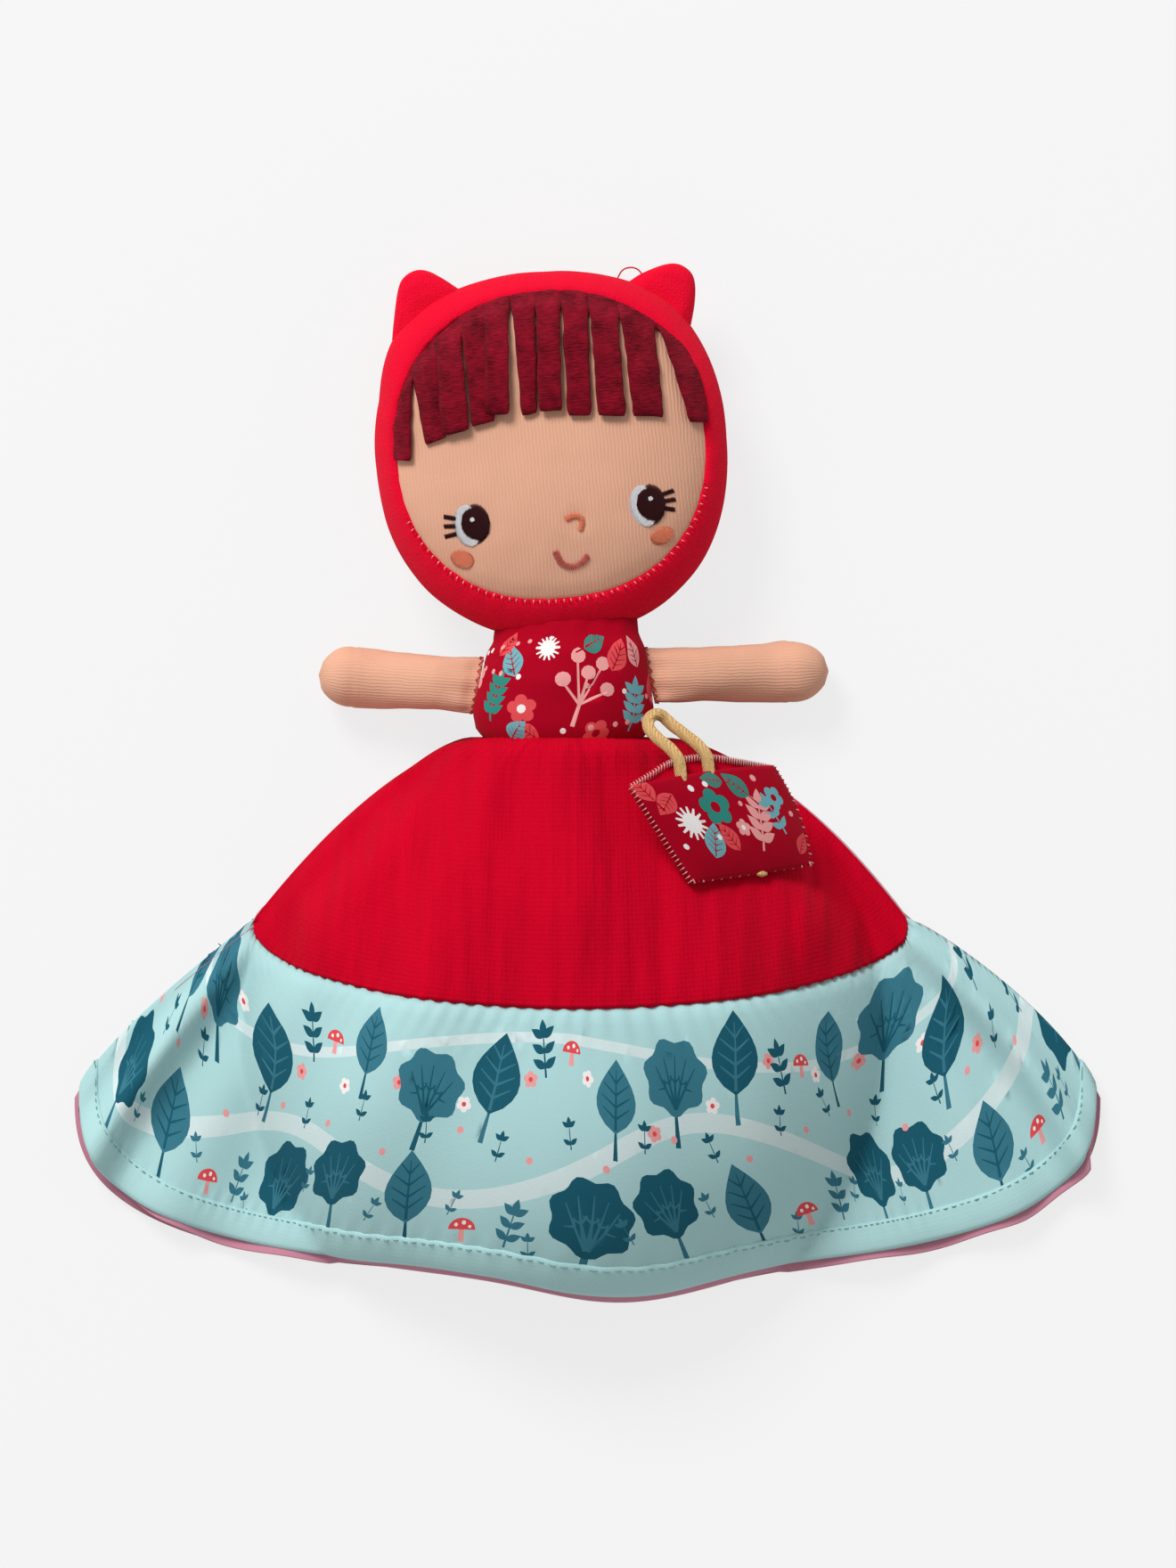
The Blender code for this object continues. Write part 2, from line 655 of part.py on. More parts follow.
def arm_rows(length, heading, lean, drop, floor):
    """Rings of an arm from the side seam to the hand, and its tip, in the arm's own frame."""
    rows = []
    reach = Vector((cos(heading), sin(heading), 0.0)) * length
    for place, wide, thick in ARM_SHARES:
        half_wide = wide * ARM_HALF_WIDTH
        half_thick = max(ARM_PINCH, thick * ARM_HALF_THICKNESS)
        turn = lean + (heading + pi / 2.0 - lean) * min(1.0, place / ARM_TWIST_SHARE)
        across = Vector((cos(turn), sin(turn), 0.0))
        level = -ARM_PINCH - (drop - ARM_PINCH) * ease(place / ARM_SETTLED_SHARE)
        row = []
        for angle in ring_angles(ARM_SEGMENTS):
            point = reach * place + across * half_wide * cos(angle)
            point.z = max(floor, level + half_thick * sin(angle))
            row.append(point)
        rows.append(row)
    return rows, reach - Vector((0.0, 0.0, drop))


def make_arm(shop, name, way, side, length, heading, seat, head_middle, floor):
    """A sewn arm with its stuffing, hinged on the bodice's side seam."""
    middle, wide, _ = body_section(seat, head_middle)
    shift = NECK_SHIFT * ease(seat / NECK_SEAM) if way > 0.0 else 0.0
    hinge = middle + ARM_PINCH
    parent = shop.frame(name + "_frame", (shift + side * (wide + GAP), way * seat, hinge))
    square = heading + pi / 2.0
    seam = pi / 2.0 + way * side * side_lean(seat)
    lean = min((seam - pi, seam, seam + pi), key=lambda angle: abs(angle - square))
    drop = hinge - floor - ARM_HALF_THICKNESS + FLAT_DEPTH
    rows, tip = arm_rows(length, heading, lean, drop, floor - hinge)
    inside = Vector((cos(heading), sin(heading), -drop / length)) * length / 2.0
    shop.add(name, face_outwards(loft(rows, last=tip), inside), SKIN, parent, CLOTH)
    filling = draw_in(face_outwards(loft(rows[1:], last=tip), inside), CLOTH + GAP)
    shop.add(name + "_filling", close_ends(filling), WHITE, parent)


def make_arms(shop):
    make_arm(shop, "arm_left", 1.0, -1.0, ARM_LENGTH_LEFT, ARM_LEAN_LEFT, ARM_SEAT_LEFT, FIRST_HEAD_MIDDLE, 0.0)
    make_arm(shop, "arm_right", 1.0, 1.0, ARM_LENGTH_RIGHT, ARM_LEAN_RIGHT, ARM_SEAT_RIGHT, FIRST_HEAD_MIDDLE, 0.0)
    for side, word in ((-1.0, "left"), (1.0, "right")):
        heading = -ARM_TUCK if side > 0.0 else ARM_TUCK - pi
        name = "second_arm_" + word
        make_arm(shop, name, -1.0, side, SECOND_ARM_LENGTH, heading, SECOND_ARM_SEAT, SECOND_HEAD_MIDDLE,
                 SECOND_FLOOR)


# Skirt


def side_power(powers, across):
    """A power between its values at the left side and at the right."""
    return powers[0] + (powers[1] - powers[0]) * (1.0 + across) / 2.0


def skirt_row(across, run):
    """Middle, half width, depth and sweep of a row: run is 0 at the waist, 1 at the seam, 2 at the hem."""
    if run <= 1.0:
        spread = run ** side_power(GAUZE_SPREAD_POWERS, across)
        return (SEAM_MIDDLE_X * run, SEAM_MIDDLE_Y * run,
                WAIST_HALF_WIDTH + (SEAM_HALF_WIDTH - WAIST_HALF_WIDTH) * spread,
                SEAM_DEPTH * run, pi / 2.0 + (SEAM_SWEEP - pi / 2.0) * run)
    part = run - 1.0
    spread = part ** side_power(BORDER_SPREAD_POWERS, across)
    return (SEAM_MIDDLE_X + (HEM_MIDDLE_X - SEAM_MIDDLE_X) * part,
            SEAM_MIDDLE_Y + (HEM_MIDDLE_Y - SEAM_MIDDLE_Y) * part,
            SEAM_HALF_WIDTH + (HEM_HALF_WIDTH - SEAM_HALF_WIDTH) * spread,
            SEAM_DEPTH + (HEM_DEPTH - SEAM_DEPTH) * part,
            SEAM_SWEEP + (HEM_SWEEP - SEAM_SWEEP) * part * part)


def skirt_plan(across, run):
    """Plan of the skirt: rows that turn from round at the seam to squarer at the waving hem."""
    x, y, wide, deep, sweep = skirt_row(across, run)
    part = max(0.0, run - 1.0)
    power = 2.0 / (2.0 + (HEM_SQUARENESS - 2.0) * part)
    side, front = sin(across * sweep), cos(across * sweep)
    x += wide * copysign(abs(side) ** power, side)
    off = (x - HEM_WAVE_X) / HEM_WAVE_SPREAD
    lift = WAIST_OVERLAP * (1.0 - min(1.0, run / OVERLAP_FADE_SHARE)) - HEM_WAVE * part * exp(-off * off)
    return x, y + lift - deep * copysign(abs(front) ** power, front)


def drape_bump(distance, reach, height):
    """Height of cloth that lies over a round form, at a distance from its middle."""
    return height * max(0.0, 1.0 - (distance / reach) ** BUMP_POWER)


def segment_distance(x, y, start, end):
    """Share along a straight line, and distance to it, in plan."""
    run = (end[0] - start[0], end[1] - start[1])
    square = run[0] * run[0] + run[1] * run[1]
    share = ((x - start[0]) * run[0] + (y - start[1]) * run[1]) / square
    share = min(1.0, max(0.0, share))
    return share, hypot(x - start[0] - run[0] * share, y - start[1] - run[1] * share)


def drape_height(x, y):
    """Height of the skirt's outer side where it lies over the second doll."""
    room = STACK + DRAPE_ROOM
    head = (0.0, -NECK_SEAM - NECK_TO_MIDDLE)
    head_top = SECOND_HEAD_MIDDLE + HEAD_HALF_THICKNESS + FRINGE_LIFT + FRINGE_THICKNESS + room
    heights = [drape_bump(hypot(x - head[0], y - head[1]), HEAD_REACH_SHARE * HEAD_HALF_WIDTH, head_top)]
    body_top = BODY_MIDDLE + BODY_HALF_THICKNESS + room
    _, off = segment_distance(x, y, (0.0, NECK_SEAM), (0.0, -NECK_SEAM))
    heights.append(drape_bump(off, BODY_REACH_SHARE * BODY_HALF_WIDTH, body_top))
    hand_top = SECOND_FLOOR + 2.0 * ARM_HALF_THICKNESS + ARM_LIFT_ROOM + room
    for side in (-1.0, 1.0):
        root = (side * BODY_HALF_WIDTH, -SECOND_ARM_SEAT)
        reach = (cos(ARM_TUCK) * SECOND_ARM_LENGTH, sin(ARM_TUCK) * SECOND_ARM_LENGTH)
        hand = (root[0] + side * reach[0], root[1] - reach[1])
        share, off = segment_distance(x, y, root, hand)
        top = hand_top + ARM_RIDGE_ROOM * (1.0 - share)
        heights.append(drape_bump(off, ARM_REACH_SHARE * ARM_HALF_WIDTH, top))
    heights.append(BACK_TOP + GAP + STACK)
    return sum(height ** DRAPE_POWER for height in heights) ** (1.0 / DRAPE_POWER)


def skirt_point(across, run):
    """A point on the outer side of the skirt's front."""
    x, y = skirt_plan(across, run)
    edge = BACK_TOP + GAP + STACK * ease(run / EDGE_RISE_SHARE)
    power = WAIST_FALL_POWER + (SKIRT_FALL_POWER - WAIST_FALL_POWER) * ease(run / FALL_FADE_SHARE)
    fall = max(0.0, cos(across * pi / 2.0)) ** power
    depth = FOLD_WAIST_DEPTH + (FOLD_HEM_DEPTH - FOLD_WAIST_DEPTH) * run / 2.0
    fold = depth * cos(pi * FOLD_COUNT * across) * (1.0 - across ** FOLD_FADE_POWER)
    off = (abs(across) - SIDE_RIDGE_SHARE) / SIDE_RIDGE_SPREAD_SHARE
    ridge = SIDE_RIDGE_HEIGHT * exp(-off * off) * ease((run - RIDGE_START_SHARE) / RIDGE_RISE_SHARE)
    high = edge + (drape_height(x, y) - edge) * fall + ridge + fold + depth * fall
    return Vector((x, y, max(edge, high)))


def skirt_sheet(runs, inset):
    """A grid of the skirt's front, moved inwards along its normals."""
    marks = even_runs(-1.0, 1.0, SKIRT_COLUMNS)
    bm = loft([[skirt_point(a, run) for a in marks] for run in runs], closed=False)
    bm.normal_update()
    if sum(face.normal.z for face in bm.faces) < 0.0:
        bmesh.ops.reverse_faces(bm, faces=bm.faces[:])
        bm.normal_update()
    return draw_in(bm, inset) if inset else bm


def run_of_length(run, length):
    """How far along the skirt a length reaches, near a run."""
    here = Vector(skirt_plan(0.0, run))
    there = Vector(skirt_plan(0.0, run - 1.0))
    return length / (here - there).length


def flat_panel(shop, name, color, outline, low):
    """A flat panel of cloth from a closed outline."""
    curve = bpy.data.curves.new(name, "CURVE")
    curve.dimensions = "2D"
    curve.fill_mode = "BOTH"
    curve.extrude = CLOTH / 2.0
    spline = curve.splines.new("POLY")
    spline.points.add(len(outline) - 1)
    for point, (x, y) in zip(spline.points, outline):
        point.co = (x, y, 0.0, 1.0)
    spline.use_cyclic_u = True
    panel = shop.place(name, curve, color)
    panel.location.z = low + CLOTH / 2.0
    return panel


def back_outline(start, end):
    """Outline of a flat back panel between two runs of the skirt."""
    side = even_runs(start, end, BACK_ROWS)
    marks = even_runs(-1.0, 1.0, BACK_COLUMNS)
    points = [skirt_plan(-1.0, run) for run in side[:-1]]
    points += [skirt_plan(mark, end) for mark in marks]
    points += [skirt_plan(1.0, run) for run in reversed(side[:-1])]
    if start > 0.0:
        points += [skirt_plan(mark, start) for mark in reversed(marks[1:-1])]
    return points


def make_skirt(shop):
    slit = run_of_length(1.0, GAP / 2.0)
    peek = run_of_length(2.0, LINING_PEEK)
    top_runs = even_runs(0.0, 1.0 - slit, TOP_ROWS)
    border_runs = even_runs(1.0 + slit, 2.0, BORDER_ROWS)
    shop.add("skirt_top_front", skirt_sheet(top_runs, 0.0), RED, None, CLOTH)
    shop.add("border_front", skirt_sheet(border_runs, 0.0), AQUA, None, CLOTH)
    lining = skirt_sheet(top_runs + border_runs + [2.0 + peek], CLOTH + GAP)
    shop.add("lining_front", lining, PINK, None, CLOTH)
    flat_panel(shop, "skirt_top_back", RED, back_outline(0.0, 1.0 - slit), 0.0)
    flat_panel(shop, "border_back", AQUA, back_outline(1.0 + slit, 2.0), 0.0)
    flat_panel(shop, "lining_back", PINK, back_outline(0.0, 2.0 + peek), CLOTH + GAP)


# Bag


def skirt_samples(corners):
    """Points of the skirt's outer side below a four-cornered patch of the plan."""
    top = bpy.data.objects["skirt_top_front"].data
    border = bpy.data.objects["border_front"].data
    trees = [BVHTree.FromPolygons([v.co for v in mesh.vertices], [p.vertices for p in mesh.polygons])
             for mesh in (top, border)]
    found = []
    marks = even_runs(0.0, 1.0, SAMPLE_STEPS)
    for down in marks:
        left = corners[0].lerp(corners[3], down)
        right = corners[1].lerp(corners[2], down)
        for across in marks:
            place = left.lerp(right, across)
            start = Vector((place.x, place.y, HEM_HALF_WIDTH))
            hits = [tree.ray_cast(start, Vector((0.0, 0.0, -1.0)))[0] for tree in trees]
            found += [hit for hit in hits if hit is not None]
    return found


def bag_frame():
    """Place and directions of the bag: the plane that rests on the skirt below it."""
    across = Vector((cos(BAG_TURN), sin(BAG_TURN), 0.0))
    down = Vector((sin(BAG_TURN), -cos(BAG_TURN), 0.0))
    top = Vector((BAG_X, BAG_Y, 0.0))
    low = top + down * BAG_HEIGHT + across * BAG_LEAN
    flap = top - down * BAG_FLAP
    corners = [flap - across * BAG_TOP_WIDTH / 2.0, flap + across * BAG_TOP_WIDTH / 2.0,
               low + across * BAG_BOTTOM_WIDTH / 2.0, low - across * BAG_BOTTOM_WIDTH / 2.0]
    found = skirt_samples(corners)
    table = np.array([(1.0, hit.dot(across)) for hit in found])
    heights = np.array([hit.z for hit in found])
    plane = np.linalg.lstsq(table, heights, rcond=None)[0]
    lift = float(np.max(heights - table @ plane))
    normal = (Vector((0.0, 0.0, 1.0)) - across * plane[1]).normalized()
    height = plane[0] + plane[1] * top.dot(across) + lift
    across = (across - normal * across.dot(normal)).normalized()
    up = normal.cross(across)
    origin = Vector((top.x, top.y, height)) + normal * (GAP + CLOTH / 2.0)
    return origin, across, up, normal


def bag_corner(s, t):
    """A place on the bag from shares across and down it."""
    width = BAG_TOP_WIDTH + (BAG_BOTTOM_WIDTH - BAG_TOP_WIDTH) * t
    return s * width / 2.0 + BAG_LEAN * t, -BAG_HEIGHT * t


def handle_route():
    """The cord's loop: up one side, over the top and down the other, in the bag's own frame."""
    radius = HANDLE_DIAMETER / 2.0
    rest = CLOTH / 2.0 + GAP + radius
    route = []
    for across, up in HANDLE_ROUTE_SHARES:
        droop = HANDLE_DROOP * ease((up - HANDLE_DROOP_SHARE) / (1.0 - HANDLE_DROOP_SHARE))
        x = HANDLE_LEFT + (HANDLE_RIGHT - HANDLE_LEFT) * across
        route.append(Vector((x, HANDLE_REACH * up, rest - droop)))
    return route


def smooth_route(route, steps):
    """A smooth curve through the points of a route."""
    points = [2.0 * route[0] - route[1]] + list(route) + [2.0 * route[-1] - route[-2]]
    made = []
    for i in range(1, len(points) - 2):
        before, here, there, after = points[i - 1:i + 3]
        for k in range(steps):
            u = k / steps
            made.append(0.5 * (2.0 * here + (there - before) * u
                               + (2.0 * before - 5.0 * here + 4.0 * there - after) * u * u
                               + (3.0 * here - before - 3.0 * there + after) * u * u * u))
    return made + [route[-1]]


def make_bag(shop):
    """A small flat bag: a back with a raised top, a puffed front and a cord handle."""
    origin, across, up, normal = bag_frame()
    pivot = Vector((HANDLE_TOP, HANDLE_REACH, HANDLE_DIAMETER / 2.0 + GAP + CLOTH / 2.0 - HANDLE_DROOP))
    frame = shop.frame("bag_frame", origin + across * pivot.x + up * pivot.y + normal * pivot.z)
    frame.rotation_euler = Matrix((across, up, normal)).transposed().to_euler()
    left, right = bag_corner(-1.0, 0.0), bag_corner(1.0, 0.0)
    low_left, low_right = bag_corner(-1.0, 1.0), bag_corner(1.0, 1.0)
    raised = [(right[0] * across, BAG_FLAP * up) for across, up in BAG_FLAP_SHARES]
    outline = [low_left, low_right, right] + raised + [left]
    back = flat_panel(shop, "bag_back", RED, [(x - pivot.x, y - pivot.y) for x, y in outline], 0.0)
    back.parent = frame
    back.location.z = -pivot.z
    rows = []
    for down in even_runs(0.0, 1.0, BAG_ROWS):
        away = 2.0 * abs(down - BAG_PUFF_MIDDLE_SHARE)
        fall = 1.0 - BAG_PUFF_FALL_SHARE * away ** BUMP_POWER if down < 1.0 else 0.0
        row = []
        for side in even_runs(-1.0, 1.0, BAG_COLUMNS):
            x, y = bag_corner(side, down)
            rise = CLOTH * 3.0 / 2.0 + GAP + BAG_BULGE * fall * (1.0 - side ** FOLD_FADE_POWER)
            row.append(Vector((x - pivot.x, y - pivot.y, rise - pivot.z)))
        rows.append(row)
    front = loft(rows, closed=False)
    shop.add("bag_front", face_outwards(front, Vector((0.0, 0.0, -BAG_HEIGHT))), CRIMSON, frame, CLOTH)
    curve = bpy.data.curves.new("bag_handle", "CURVE")
    curve.dimensions = "3D"
    curve.bevel_depth = HANDLE_DIAMETER / 2.0
    curve.bevel_resolution = HANDLE_RING_COUNT
    curve.use_fill_caps = True
    spline = curve.splines.new("POLY")
    points = smooth_route(handle_route(), HANDLE_STEPS)
    spline.points.add(len(points) - 1)
    for point, place in zip(spline.points, points):
        point.co = (*(place - pivot), 1.0)
    shop.place("bag_handle", curve, TAN, frame)


def main():
    shop = Workshop(start_scene())
    make_first_head(shop)
    make_second_head(shop)
    make_bodice(shop, "", 1.0, FIRST_HEAD_MIDDLE)
    make_bodice(shop, "second_", -1.0, SECOND_HEAD_MIDDLE)
    make_body_filling(shop)
    make_arms(shop)
    make_skirt(shop)
    make_bag(shop)


main()
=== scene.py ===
"""Topsy turvy doll: its cloth, stuffing, stitches and print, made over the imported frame."""

import json
from math import asin, atan2, ceil, copysign, cos, degrees, exp, hypot, pi, radians, sin, sqrt

import bmesh
import bpy
import numpy as np
from mathutils import Matrix, Vector, noise
from mathutils.geometry import delaunay_2d_cdt


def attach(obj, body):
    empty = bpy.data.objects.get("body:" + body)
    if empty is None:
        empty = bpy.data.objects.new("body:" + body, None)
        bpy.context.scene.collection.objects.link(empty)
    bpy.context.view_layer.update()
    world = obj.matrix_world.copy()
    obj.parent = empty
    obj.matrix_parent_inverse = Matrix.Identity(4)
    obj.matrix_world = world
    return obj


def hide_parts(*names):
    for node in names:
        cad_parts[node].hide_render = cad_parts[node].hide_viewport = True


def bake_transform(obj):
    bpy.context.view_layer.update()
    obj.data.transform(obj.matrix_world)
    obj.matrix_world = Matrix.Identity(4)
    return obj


bl_info = {
    "name": "Topsy turvy doll",
    "version": (1, 0, 0),
    "blender": (4, 5, 0),
    "location": "View3D > Sidebar > Doll",
    "description": "Builds the cloth, stitches and print of a topsy turvy doll",
    "category": "Object",
}

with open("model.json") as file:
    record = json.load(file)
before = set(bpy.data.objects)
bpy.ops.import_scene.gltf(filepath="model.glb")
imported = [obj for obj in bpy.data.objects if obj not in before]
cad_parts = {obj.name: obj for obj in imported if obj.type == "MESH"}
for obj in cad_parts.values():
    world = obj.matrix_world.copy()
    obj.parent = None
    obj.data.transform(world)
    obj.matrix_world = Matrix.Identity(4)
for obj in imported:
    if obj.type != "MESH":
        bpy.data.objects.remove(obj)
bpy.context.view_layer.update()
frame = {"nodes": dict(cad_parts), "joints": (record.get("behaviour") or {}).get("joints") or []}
JOINTS = {joint["name"]: joint for joint in frame["joints"]}

# Sizes that the frame was made from, in metres
CLOTH = 0.0008
GAP = 0.0003
FLAT_DEPTH = 0.0005
HEAD_HALF_WIDTH = 0.0450
HEAD_CROWN = 0.0455
HEAD_CHIN = 0.0475
HEAD_HALF_THICKNESS = 0.0210
HEAD_FULLNESS = 2.4
HEAD_SQUARENESS = 2.2
NECK_TO_MIDDLE = 0.0446
HEAD_TILT = radians(5.0)
FACE_EDGE_SHARE = 0.882
FACE_CHIN_SHARE = 0.085
BODY_LENGTH = 0.0270
BODY_HALF_WIDTH = 0.0228
BODY_HALF_THICKNESS = 0.0163
NECK_SEAM = 0.0304
NECK_SHIFT = 0.0009
BODY_SHARES = ((0.0, 0.80, 0.86), (0.15, 0.965, 0.97), (0.30, 1.0, 1.0), (0.60, 0.947, 1.0),
               (0.89, 0.87, 0.89), (1.0, 0.80, 0.66))
ARM_LENGTH_LEFT = 0.0416
ARM_LENGTH_RIGHT = 0.0464
SECOND_ARM_LENGTH = 0.0445
ARM_HALF_WIDTH = 0.0080
ARM_HALF_THICKNESS = 0.0086
ARM_PINCH = 0.0015
ARM_SHARES = ((0.0, 0.91, 0.0), (0.10, 0.89, 0.36), (0.28, 0.88, 0.72), (0.52, 0.93, 0.94),
              (0.76, 1.0, 1.0), (0.90, 0.86, 0.86), (0.975, 0.50, 0.50))
STACK = 2.0 * CLOTH + GAP
SECOND_FLOOR = STACK + GAP
FIRST_HEAD_MIDDLE = HEAD_HALF_THICKNESS - FLAT_DEPTH
SECOND_HEAD_MIDDLE = SECOND_FLOOR + HEAD_HALF_THICKNESS - FLAT_DEPTH
BODY_MIDDLE = SECOND_FLOOR + BODY_HALF_THICKNESS

WAIST_HALF_WIDTH = 0.0240
WAIST_OVERLAP = 0.0018
SEAM_MIDDLE = (0.0045, -0.0475)
SEAM_HALF_WIDTH = 0.0850
SEAM_DEPTH = 0.0200
SEAM_SWEEP = radians(97.0)
HEM_MIDDLE = (0.0064, -0.0890)
HEM_HALF_WIDTH = 0.1316
HEM_DEPTH = 0.0455
HEM_SWEEP = radians(90.0)
HEM_SQUARENESS = 2.8
HEM_WAVE = 0.0075
HEM_WAVE_X = 0.0150
HEM_WAVE_SPREAD = 0.0300
GAUZE_SPREAD_POWERS = (0.65, 0.48)
BORDER_SPREAD_POWERS = (1.0, 0.8)

TURN = 2.0 * pi
UP = Vector((0.0, 0.0, 1.0))
NECK_HALF_WIDTH = 0.0178
NECK_HALF_THICKNESS = 0.0092
BODICE_LENGTH = NECK_SEAM + 0.0012
BODICE_AROUND = TURN * 0.0195
FACE_UNDER_HOOD = 0.012
HOOD_START = 0.004
BORDER_HEIGHT = 0.0640
CLOTH_PER_RUN = 0.062

# Columns and rows of the meshes
FACE_CELLS = (128, 44)
HOOD_COLUMNS = 168
EAR_SIDES = 36
STRIP_CELLS = (20, 30)
BODICE_CELLS = (64, 22)
ARM_CELLS = (40, 46)
GAUZE_COLUMNS = 240
BORDER_CELLS = (220, 30)
LINING_COLUMNS = 150
BACK_CELLS = (120, 24)
BAG_CELLS = (40, 26)
HANDLE_SIDES = 40

# Radii of the threads
SATIN_THREAD = 0.00016
LINE_THREAD = 0.00014
FACE_HEM_THREAD = 0.00019
ARM_THREAD = 0.00018
LOOSE_THREAD = 0.00020
HEM_THREAD = 0.00016
SERGE_THREAD = 0.00022
SIDE_THREAD = 0.00019
FOOT_THREAD = 0.00024
KNOT_CORD = 0.0009
BLUSH = (0.85, 0.40, 0.38)


def smooth(value, low=0.0, high=1.0):
    """Rise smoothly from 0 at low to 1 at high."""
    share = min(1.0, max(0.0, (value - low) / (high - low)))
    return share * share * (3.0 - 2.0 * share)


def mix(start, end, share):
    return start + (end - start) * share


def lump(point, size, seed=0.0):
    """Soft noise from -1 to 1, with lumps of about this size in metres."""
    return noise.noise(Vector((point[0] / size + seed, point[1] / size, point[2] / size - seed)))


def between(table, place):
    """Read a table at a place along it, straight from row to row."""
    for low, high in zip(table, table[1:]):
        if place <= high[0]:
            part = (place - low[0]) / (high[0] - low[0])
            return [mix(a, b, part) for a, b in zip(low[1:], high[1:])]
    return list(table[-1][1:])


def steps(start, end, count):
    return [start + (end - start) * i / count for i in range(count + 1)]


def turns(count):
    return steps(0.0, TURN, count)[:-1]


def bent(value, power):
    """A power that keeps the value's sign."""
    return copysign(abs(value) ** power, value)


def millimetres(*rows):
    return [tuple(value / 1000.0 for value in row) for row in rows]


def curve_through(route, count=4):
    """A smooth plan curve through the points of a route."""
    points = [Vector((x, y, 0.0)) for x, y in route]
    points = [points[0] * 2.0 - points[1]] + points + [points[-1] * 2.0 - points[-2]]
    made = []
    for i in range(1, len(points) - 2):
        a, b, c, d = points[i - 1:i + 3]
        for u in steps(0.0, 1.0, count)[:-1]:
            p = 0.5 * (2.0 * b + (c - a) * u + (2.0 * a - 5.0 * b + 4.0 * c - d) * u * u
                       + (3.0 * b - a - 3.0 * c + d) * u * u * u)
            made.append((p.x, p.y))
    return made + [route[-1]]


# Pieces


def finish_piece(mesh, body, slot, nodes=(), thickness=0.0):
    """Make a mesh into a linked piece, thicken it inwards, and put it on its body."""
    piece = bpy.data.objects.new(mesh.name, mesh)
    bpy.context.scene.collection.objects.link(piece)
    if thickness:
        layer = piece.modifiers.new("cloth", "SOLIDIFY")
        layer.thickness = thickness
        layer.offset = -1.0
    if nodes:
        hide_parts(*nodes)
    if body:
        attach(piece, body)
    return piece


def mesh_of(name, points, faces, materials, flat=None, inks=None):
    """A smooth mesh from points and faces, with cloth coordinates in metres and an ink for each face."""
    mesh = bpy.data.meshes.new(name)
    mesh.from_pydata([tuple(p) for p in points], [], faces)
    for material in materials:
        mesh.materials.append(material)
    if flat is not None:
        layer = mesh.uv_layers.new(name="Cloth")
        table = np.array(flat, float).reshape(-1, 2)
        if len(table) == len(points):
            spots = np.zeros(len(mesh.loops), int)
            mesh.loops.foreach_get("vertex_index", spots)
            table = table[spots]
        layer.data.foreach_set("uv", table.astype(np.float32).ravel())
    if inks is not None:
        mesh.polygons.foreach_set("material_index", np.array(inks, np.int32))
    mesh.shade_smooth()
    mesh.update()
    return mesh


def looks_up(face):
    return face.normal.z


def looks_down(face):
    return -face.normal.z


def looks_from(centre):
    return lambda face: (face.center - centre).dot(face.normal) * face.area


def face_out(mesh, lean=looks_up):
    """Flip a mesh whose faces look the wrong way on the whole; lean is how far one face looks the right way."""
    if sum(lean(face) for face in mesh.polygons) < 0.0:
        mesh.flip_normals()
    return mesh


def swept(us, vs, place):
    """Rows of points and rows of their cloth coordinates; place gives both at a pair of marks."""
    pairs = [[place(u, v) for u in us] for v in vs]
    return [[[pair[i] for pair in row] for row in pairs] for i in (0, 1)]


def grid_mesh(name, rows, flat, material, lean=looks_up, wrap=False):
    """Join rows of points into a surface; a wrapped row ends on its first point again."""
    count = len(rows[0]) - wrap
    faces, loops = [], []
    for i in range(len(rows) - 1):
        for j in range(len(rows[0]) - 1):
            k = (j + 1) % count
            faces.append((i * count + j, (i + 1) * count + j, (i + 1) * count + k, i * count + k))
            loops += [flat[i][j], flat[i + 1][j], flat[i + 1][j + 1], flat[i][j + 1]]
    return face_out(mesh_of(name, [p for row in rows for p in row[:count]], faces, [material], loops), lean)


def edit(mesh, change):
    """Change a mesh in place, and leave it smooth."""
    bm = bmesh.new()
    bm.from_mesh(mesh)
    change(bm)
    for face in bm.faces:
        face.smooth = True
    bm.to_mesh(mesh)
    bm.free()


def turn_faces_out(bm):
    bmesh.ops.recalc_face_normals(bm, faces=bm.faces[:])


def tube_faces(first, rings, sides):
    """The faces of a tube with closed ends, whose rings of points follow each other."""
    faces = []
    for low in range(first, first + (rings - 1) * sides, sides):
        high = low + sides
        faces += [(low + j, low + (j + 1) % sides, high + (j + 1) % sides, high + j) for j in range(sides)]
    last = first + (rings - 1) * sides
    return faces + [tuple(reversed(range(first, first + sides))), tuple(range(last, last + sides))]


def squares(route, upward=UP):
    """Two directions square to a route, at each of its points."""
    for i in range(len(route)):
        along = (route[min(i + 1, len(route) - 1)] - route[max(i - 1, 0)]).normalized()
        side = along.cross(upward)
        side = side.normalized() if side.length > 1e-6 else Vector((1.0, 0.0, 0.0))
        yield side, side.cross(along)


class Stitches:
    """Collects many short threads in one mesh."""

    def __init__(self, sides=6):
        self.points, self.faces, self.inks, self.sides = [], [], [], sides

    def add(self, route, radius, ink=0):
        """One thread along a route of points, thinner at its ends."""
        faces = tube_faces(len(self.points), len(route), self.sides)
        for i, (point, (side, up)) in enumerate(zip(route, squares(route))):
            size = radius * (0.45 if i in (0, len(route) - 1) else 1.0)
            self.points += [point + (side * cos(a) + up * sin(a)) * size for a in turns(self.sides)]
        self.faces += faces
        self.inks += [ink] * len(faces)

    def piece(self, name, materials, body, slot, nodes=()):
        finish_piece(mesh_of(name, self.points, self.faces, materials, None, self.inks), body, slot, nodes)


# Effects shared by the materials


